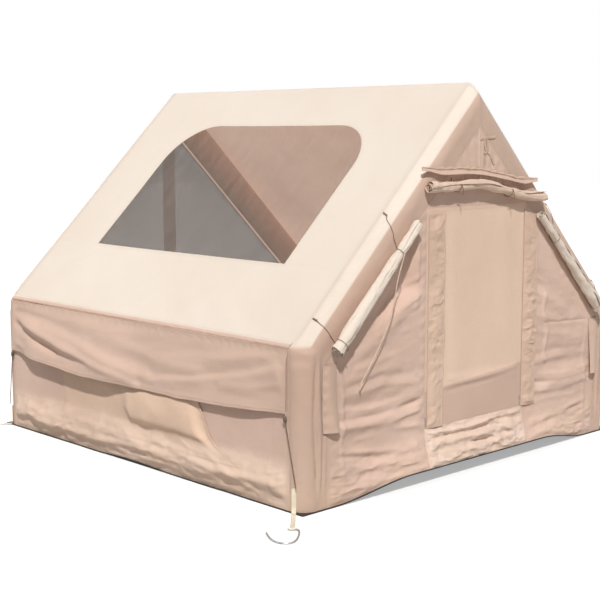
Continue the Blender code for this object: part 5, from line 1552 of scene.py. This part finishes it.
def sill():
    # the slack strip under the door: pushed out and crumpled, sunlit on top
    half = front["doorHalf"] - tent["gap"]
    x = np.linspace(-half, half, 200)[None]
    low = onFloor + front["hemRise"] * hemPart(x)
    part = np.linspace(0, 1, 70)[:, None]
    z = low + (front["doorBottom"] - tent["gap"] - low) * part
    x = np.broadcast_to(x, z.shape)
    across = (x + half) / (2 * half)
    calm = edgeFade(across, 0.15) * edgeFade(part, 0.2)
    crumple = 0.006 * np.sin(x * 24 + 9 * z) * np.sin(part * np.pi)
    fade = edgeFade(across, 0.03) * edgeFade(part, 0.06)
    sharp = crests(x * 6 + z * 5, z * 15, 101)
    small = folds(x, z, sillFolds) * 1.6 + sharp * 0.012 + noise(x * 24, z * 30, 102, 2) * 0.004
    out = sillPush(x, z) + calm * crumple * 0.5 + small * fade
    piece = frontSheet("door_sill_cloth", x, z, out, sillCloth)
    dress(piece, "tent", "door_cloth", "door_sill")


def stormFlap(name, side, node):
    # the strip over a door zip: sewn along its left edge, puckered in a row of little pleats where
    # the elastic gathers it, its free edge turned under
    sewn = side * (front["doorHalf"] - front["flapMargin"])
    across = np.linspace(0, 1, 44)[None]
    part = np.linspace(0, 1, 340)[:, None]
    x = sewn + front["flapWidth"] * across
    rollSide = curtain["inset"] + 2 * curtain["topRadius"]
    top = np.minimum(front["doorTop"] - 0.030, rakeLimit(x, rollSide))
    z = front["doorBottom"] + (top - front["doorBottom"]) * part
    pucker = noise(z * 7, across * 0.8, 113 + side, 2)
    out = 0.008 * np.sin(np.pi * across * 0.9) * (0.7 + 0.5 * pucker) + 0.005 * across
    x = np.broadcast_to(x, z.shape)
    slant = z + 0.05 * across * noise(z * 5, 0, 114 + side, 2)
    ridges = 1 - np.abs(noise(across * 1.1, slant * 15, 115 + side, 3)) * 2.4
    gathered = np.clip(0.55 + 0.9 * noise(z * 4.5, across * 0.7, 116 + side, 2), 0.1, 1.2)
    body = np.sin(np.pi * np.clip(across, 0, 1)) ** 0.6 * edgeFade(part, 0.02)
    pleat = 0.0085 * np.maximum(ridges, -0.3) * gathered * body
    sharp = 0.003 * noise(across * 3, z * 34, 117 + side, 2) * body
    wave = noise(across * 2.2, z * 6, 111 + side, 3) * 0.005 * body
    edge = 0.0022 * bump(across, 0.93, 0.035)
    jog = ((0.010 * noise(z * 11, 0, 118, 3) + 0.007 * noise(z * 4, 0, 112, 2)) * across**2
           * edgeFade(part, 0.03))
    out = np.maximum(out + pleat + sharp + wave + edge, 0.0)
    piece = frontSheet(name, x + jog, z, out, stormCloth, True)
    dress(piece, "door", "door_cloth", node)


stormCloth = clothLook("stormCloth", dict(wallCanvas, pale=srgb(222, 194, 174), deep=srgb(208, 178, 158),
                                          crease=0.004, hem=0.003))


hood = {"left": -0.452, "right": 0.500, "top": 1.580, "tall": 0.042, "reach": 0.045}


def brow():
    # the stiffened hood over the door's top: a curved lip with a rolled lower edge and seams
    left, right = hood["left"], hood["right"]
    x = np.linspace(left, right, 260)[None]
    across = (x - left) / (right - left)
    reach = hood["reach"] * np.sin(np.pi * np.clip(across, 0, 1)) ** 0.4
    part = np.linspace(0, 1, 40)[:, None]
    wave = 0.0022 * np.sin(x * 31 + 1) + 0.0026 * noise(x * 14, 0, 121, 2)
    taper = 0.45 + 0.55 * smooth(np.minimum(across, 1 - across), 0, 0.16)
    z = hood["top"] - droop(x) - hood["tall"] * (1 - part) * taper + wave * np.sin(np.pi * part)
    out = (reach * (1 - part) ** 1.4 * 0.5 - 0.008 * bump(part, 0.52, 0.10) * edgeFade(across, 0.1)
           + 0.006 * bump(part, 0.10, 0.09))
    fade = edgeFade(part, 0.12) * edgeFade(across, 0.02)
    out = (out + (noise(x * 8, z * 22, 122, 3) * 0.0035 + 0.002 * np.sin(x * 90 + 3 * np.sin(x * 8))
                  * bump(part, 0.85, 0.2)) * fade)
    x = np.broadcast_to(x, z.shape)
    piece = frontSheet("brow_hood", x, z, np.maximum(out, 0), browCloth, True, thick=0.0014)
    dress(piece, "tent", "wall_cloth", "brow_flap")


browCloth = clothLook("browCloth", dict(wallCanvas, pale=srgb(213, 186, 170), deep=srgb(200, 172, 155),
                                        hem=0.004))


tongue = {"inner": 1.035, "outer": 1.125, "wide": 0.090, "low": 0.367, "tall": 0.318}


def legFlap(name, side, node):
    # the long tongue over the zip beside a leg: sewn on top, curling off below
    x = np.linspace(tongue["outer"], tongue["inner"], 40)[None]
    part = np.linspace(0, 1, 130)[:, None]
    z = tongue["low"] + tongue["tall"] * part
    across = (x - tongue["inner"]) / tongue["wide"]
    lift = 0.020 * (1 - part) ** 1.5 * (0.5 + 0.5 * np.cos(np.pi * across))
    out = lift + 0.018 * np.sin(np.pi * across) * (1 - 0.6 * part)
    wave = ((noise(across * 1.6, z * 9, 131 + side, 3) * 0.004
             + 0.0015 * np.sin(z * 110) * bump(across, 0.9, 0.2)) * smooth(1 - part, 0, 0.1))
    x = x + 0.006 * np.sin(z * 13 + 1) * (1 - part)
    x, z = np.broadcast_arrays(x, z)
    piece = frontSheet(name, side * x, z, np.maximum(out + wave, 0), browCloth, True)
    dress(piece, "tent", "wall_cloth", node)


gablePeak()
door()
sill()
for sideName, side in bothSides:
    frontWall(f"{sideName}_gable_wall", side, f"{sideName}_front_wall")
    stormFlap(f"{sideName}_storm_flap", side, f"{sideName}_door_flap")
    legFlap(f"{sideName}_leg_tongue", side, f"{sideName}_leg_flap")
brow()
print("front gable made")


# Apex webbing, rear gable, floor, corner loops and pegs


apexTape = newMaterial("apexTape", webbingLook(srgb(214, 190, 168), srgb(186, 160, 138)), Sheen_Weight=0.1)


def apexLoop():
    # the bar of doubled webbing under the peak: short straps laid over each other and stitched
    top = rakeLimit(0, sleeveEdge) - 0.050
    low = 1.538 + 0.042 + tent["gap"] - top
    runs = (
        (((-0.004, -0.014), (0.060, -0.008), (0.126, -0.004)), 0.016, 0.0026, 0),
        (((0.036, -0.018), (0.037, -0.045), (0.052, -0.078)), 0.013, 0.0022, 1),
        (((0.055, -0.016), (0.062, -0.05), (0.063, -0.082)), 0.015, 0.0022, 0),
        (((0.060, -0.078), (0.085, -0.10), (0.120, low)), 0.013, 0.0020, 1),
        (((0.052, -0.074), (0.046, -0.11), (0.0475, low)), 0.013, 0.0020, 0),
        (((0.034, -0.080), (0.040, -0.086), (0.056, -0.088)), 0.010, 0.0022, 1),
    )
    pieces = []
    for k, (line, wide, thick, layer) in enumerate(runs):
        y = -halfDepth - tent["gap"] - thick / 2 - 0.0006 - layer * 0.0022
        route = smoothRoute([(dx, y - 0.0008 * np.sin(i * 2.1), top + dz) for i, (dx, dz) in enumerate(line)],
                            40)
        way = unit(np.gradient(route, axis=0))
        side = unit(np.cross(way, (0, 1.0, 0)))
        ring = boxRing(wide, thick, thick * 0.45)
        rings = (route[:, None] + ring[None, :, :1] * side[:, None]
                 + ring[None, :, 1:] * np.array([0, -1.0, 0]))
        pieces.append(ringTube(f"apex_strap_{k}", rings, apexTape))
    piece = joined("apex_webbing", pieces)
    dress(piece, "tent", "webbing", "apex_guy_loop")


def snapped(low, high, steps, stops):
    # evenly spaced values with these stops among them
    made = np.linspace(low, high, steps)
    for stop in stops:
        made[np.argmin(np.abs(made - stop))] = stop
    return made


rear = {"sill": 0.72, "bandHalf": 0.05}
rearFolds = (
    (((-0.9, 0.30), (-0.2, 0.24), (0.5, 0.32), (1.0, 0.26)), 0.03, 0.009),
    (((-1.0, 0.50), (-0.3, 0.56), (0.4, 0.50)), 0.04, 0.007),
    (((0.9, 0.55), (0.3, 0.62)), 0.03, 0.006),
)


def rearPlate():
    # the wall below the windows as one sheet and the band between them as its upward tongue
    x = snapped(-legInner, legInner, 241, (-rear["bandHalf"], rear["bandHalf"]))
    tip = rakeLimit(0, sleeveEdge + tent["gap"])
    above = rear["sill"] + np.linspace(0, 1, 81)[1:] * (tip - rear["sill"])
    z = np.concatenate([np.linspace(onFloor, rear["sill"], 90), above])
    gx, gz = np.meshgrid(x, z)
    limit = rakeLimit(gx, sleeveEdge + tent["gap"])
    beside = np.abs(gx) > rear["bandHalf"] + 0.001
    clipped = np.minimum(gz, np.where(beside, np.minimum(limit, rear["sill"]), limit))
    below = np.where(np.abs(gx) > rear["bandHalf"], rear["sill"] - gz, limit - gz)
    fade = (smooth(legInner - np.abs(gx), 0, 0.04) * smooth(gz, onFloor, onFloor + 0.04)
            * smooth(below, 0, 0.03))
    low = smooth(0.62 - gz, 0, 0.3)
    crumple = (noise(gx * 3.6, gz * 7, 141, 3) * 0.006 + noise(gx * 11, gz * 18, 142, 3) * 0.004
               * smooth(0.3 - gz, 0, 0.2))
    out = (crumple * low + folds(gx, gz, rearFolds) + 0.003 * noise(gx * 2, gz * 2, 143, 2)) * fade
    points = np.stack([gx, halfDepth + out, clipped], axis=-1)
    hole = (np.abs(gx[:-1, :-1] + gx[:-1, 1:]) / 2 > rear["bandHalf"]) & (gz[:-1, :-1] >= rear["sill"] - 1e-6)
    hole = hole | (clipped[1:, :-1] - clipped[:-1, :-1] < 1e-6) & (clipped[1:, 1:] - clipped[:-1, 1:] < 1e-6)
    piece = clothSheet("rear_gable_wall", points, wallCloth, hole=hole, facing=(0, 1, 0), lined=True)
    closedUp(piece)
    dress(piece, "tent", "wall_cloth", "rear_wall")


def rearNet():
    # the two windows' fly net in one triangle, a little slack
    low, top = 0.71, rakeLimit(0, sleeveEdge - 0.010)
    half = min((top - low) / tanPitch, legInner + 0.010)
    part = np.linspace(0, 1, 64)[:, None]
    across = np.linspace(-1, 1, 130)[None]
    wide = np.minimum(half, np.maximum((top - 0.004 - low - (top - 0.004 - low) * part) / tanPitch, 0.004))
    x = wide * across
    z = low + (top - 0.004 - low) * part + 0 * x
    fade = smooth(wide * (1 - np.abs(across)), 0, 0.05) * smooth(part, 0, 0.06)
    slack = noise(x * 2.5, z * 2.5, 151, 3) * 0.003
    y = halfDepth - tent["room"] - tent["gap"] - 0.001 - 0.004 * fade - np.abs(slack) * fade
    points = np.stack([x, y, z], axis=-1)
    piece = clothSheet("rear_fly_net", points, meshNet, facing=(0, 1, 0), thick=0.0008)
    dress(piece, "tent", "mesh_net", "rear_mesh_window")


ground = {"over": 0.006, "hemRun": 0.234}


def groundCloth():
    # the black floor: flat inside, lifted with the front hem, its turned-up rim crumpled
    edge = halfWidth + ground["over"]
    # columns under the sleeves, and close together where the rim turns up
    near = halfWidth + np.array([-0.001, 0.0005, 0.0015, 0.004])
    outside = np.array([1.15, 1.2, 1.23, *near, edge])
    x = np.sort(np.concatenate([-outside, np.linspace(-legInner, legInner, 130), outside]))[:, None]
    frontY = -halfDepth - ground["over"] - front["sillReach"] * hemPart(x)
    backY = halfDepth + ground["over"]
    run = ground["hemRun"]
    fall = np.concatenate([np.linspace(0, run, 20), run + np.linspace(0, 1, 80)[1:]])[None]
    y = np.where(fall <= run, frontY + fall, frontY + run + (backY - frontY - run) * (fall - run))
    lift = front["hemRise"] * hemPart(x) * smooth(frontY + run - y, 0, run)
    ruck = noise(x * 7, y * 7, 161, 3) * 0.0012 * smooth(edge - np.abs(x), 0, 0.05)
    rim = 0.012 * smooth(np.abs(x), halfWidth - 0.001, halfWidth + 0.0015) * smooth(0.95 - np.abs(y), 0, 0.4)
    rim = np.maximum(rim * (0.6 + 0.8 * noise(y * 3, 0, 162, 2)), 0)
    z = tent["floorCloth"] + lift + np.minimum(ruck, 0) + rim
    x = np.broadcast_to(x, y.shape)
    points = np.stack([x, y, z], axis=-1)
    piece = clothSheet("ground_cloth", points, floorSheet, facing=(0, 0, 1), thick=0.0048)
    dress(piece, "tent", "floor_sheet", "groundsheet")


def cornerFrame(side, end):
    # the diagonal out of a corner, the level line square to it, and where the webbing starts
    out = np.array([side, end, 0]) / np.sqrt(2)
    across = np.cross(out, (0, 0, 1)) * side * end
    return out, across, np.array([side * eaveCorner[0], end * beamY, 0]) + across * strap["aside"]


peg = {
    "radius": 0.0042, "clearance": 0.0002,
    "wire": (
        (0.0, 0.022, 1), (0.0, -0.016, 1), (0.016, -0.030, 0.5), (0.060, -0.032, 0), (0.110, -0.027, 0),
        (0.152, -0.018, 0), (0.181, 0.002, 0), (0.186, 0.032, 0), (0.170, 0.064, 0), (0.130, 0.089, 0),
        (0.085, 0.104, 0), (0.045, 0.113, 0),
    ),
}
strap = {"width": 0.022, "thick": 0.002, "sewn": 0.12, "reach": 0.240, "bend": 0.006, "aside": 0.042}
strapEye = peg["radius"] + 0.0008 + strap["thick"] / 2


def cornerLoop(name, side, end, node):
    # the webbing from a corner to the ground, with an eye
    out, across, base = cornerFrame(side, end)
    leg = np.sqrt(sleeveRadius**2 - (strap["aside"] - strap["width"] / 2) ** 2)
    start = leg + tent["gap"] + strap["thick"] / 2
    floorCorner = np.sqrt(2) * (sleeveRadius + ground["over"])
    rest, bend = onFloor + strap["thick"] / 2, strap["bend"]
    eyeHeight = strap["thick"] / 2 + strapEye
    reach = strap["reach"] + sleeveRadius
    path = [(start, strap["sewn"]), (start, rest + 3 * bend), (start + 0.6 * bend, rest + bend),
            (start + 1.6 * bend, rest)]
    path += [(floorCorner + bend / 2, rest), (floorCorner + 2.5 * bend, strap["thick"] / 2),
             (reach - 2 * bend, strap["thick"] / 2)]
    path += [(reach + strapEye * np.cos(a), eyeHeight + strapEye * np.sin(a))
             for a in np.radians(np.linspace(-90, 215, 22))]
    route = np.array([base + out * r + np.array([0, 0, z]) for r, z in path])
    fine = []
    for a, b in zip(route, route[1:]):
        steps = max(1, int(np.linalg.norm(b - a) / 0.006))
        fine += [a + (b - a) * k / steps for k in range(steps)]
    route = np.array([*fine, route[-1]])
    way = unit(np.gradient(route, axis=0))
    up = unit(np.cross(way, across))
    ring = boxRing(strap["width"], strap["thick"], 0.0008)
    rings = route[:, None] + ring[None, :, :1] * across + ring[None, :, 1:] * up[:, None]
    piece = ringTube(name, rings, webbing)
    dress(piece, "tent", "webbing", node)


def groundPeg(name, side, end, node):
    # a steel wire bent to a hook, both ends rounded off
    out, across, base = cornerFrame(side, end)
    high, low = strap["thick"] / 2 + strapEye, peg["radius"] + peg["clearance"]
    route = [base + out * (strap["reach"] + sleeveRadius + a) + across * b + (0, 0, low + (high - low) * c)
             for a, b, c in peg["wire"]]
    path = np.concatenate([spaced([route[0], route[1]], 10)[:-1], smoothRoute(route[1:], 110)])
    walked = walkedAlong(path)
    tip = np.minimum(walked, walked[-1] - walked)
    size = peg["radius"] * np.sqrt(np.clip(1 - (1 - np.clip(tip / 0.004, 0, 1)) ** 2, 0.08, 1))
    piece = cordTube(name, path, size, steel, 16)
    dress(piece, "tent", "steel", node)


apexLoop()
rearPlate()
rearNet()
groundCloth()
for endName, end in bothEnds:
    for sideName, side in bothSides:
        cornerLoop(f"{endName}_{sideName}_corner_strap", side, end, f"{endName}_{sideName}_peg_loop")
        groundPeg(f"{endName}_{sideName}_ground_hook", side, end, f"{endName}_{sideName}_peg")
print("rear gable, floor and fittings made")


# The kept solids' finishes

for node, look in (("inflation_valve", darkPlastic), ("valve_cap", darkPlastic), ("left_zip_slider", steel),
                   ("right_zip_slider", steel)):
    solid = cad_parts[node]
    solid.data.materials.clear()
    solid.data.materials.append(look)


# Floor and light

stage = {"floor": (0.52, 0.51, 0.49, 1), "size": 60.0}


def stageLook(start):
    place = coordinate(start, "Object")
    shade = place.noise(0.8, 3).between(0.2, 0.8).mix(stage["floor"], (0.48, 0.47, 0.455, 1))
    seen = start.make("ShaderNodeLightPath")
    return {"Base_Color": seen.mix(shade, (0.72, 0.72, 0.72, 1)),
            "Emission_Color": seen.mix((0, 0, 0, 1), (1, 1, 1, 1)), "Roughness": 0.9}


floorMaterial = newMaterial("studioFloor", stageLook, Specular_IOR_Level=0.1, Emission_Strength=0.38)
half = stage["size"] / 2
corners = [(x, y, -0.0005) for x, y in ((-half, -half), (half, -half), (half, half), (-half, half))]
floor = newMesh("studio_floor", corners, [np.array([[0, 1, 2, 3]])], floorMaterial,
                [(0, 0), (1, 0), (1, 1), (0, 1)], smoothFaces=False)

lamps = {
    "sun": {"way": (-0.45, -0.49, 0.746), "strength": 3.02, "angle": 2.5, "colour": (1.0, 0.975, 0.945)},
    "fill": {"way": (0.55, 0.60, 0.58), "strength": 0.9, "angle": 30, "colour": (1.0, 0.985, 0.97)},
    "sky": {"strength": 0.27, "colour": (1.0, 0.985, 0.97)},
}
for lampName in ("sun", "fill"):
    lamp = lamps[lampName]
    lampData = bpy.data.lights.new(lampName, "SUN")
    lampData.energy = lamp["strength"]
    lampData.angle = np.radians(lamp["angle"])
    lampData.color = lamp["colour"]
    shining = bpy.data.objects.new(lampName, lampData)
    shining.rotation_euler = Vector(lamp["way"]).to_track_quat("Z", "Y").to_euler()
    scene.collection.objects.link(shining)

world = bpy.data.worlds.new("studio")
world.use_nodes = True
tree = world.node_tree
tree.nodes.clear()
output = tree.nodes.new("ShaderNodeOutputWorld")
rays = tree.nodes.new("ShaderNodeLightPath")
camRay = Wire(tree, rays.outputs["Is Camera Ray"])
glossyRay = Wire(tree, rays.outputs["Is Glossy Ray"])
throughRay = Wire(tree, rays.outputs["Is Transmission Ray"])
seen = camRay.maths("MAXIMUM", camRay.maths("MAXIMUM", camRay, glossyRay), throughRay)
lit = camRay.make("ShaderNodeBackground", Color=(*lamps["sky"]["colour"], 1),
                  Strength=lamps["sky"]["strength"])
white = camRay.make("ShaderNodeBackground", Color=(1, 1, 1, 1), Strength=1.0)
both = camRay.make("ShaderNodeMixShader", i0=seen, i1=lit, i2=white)
tree.links.new(both.socket, output.inputs["Surface"])
scene.world = world

scene.view_settings.view_transform = "Standard"
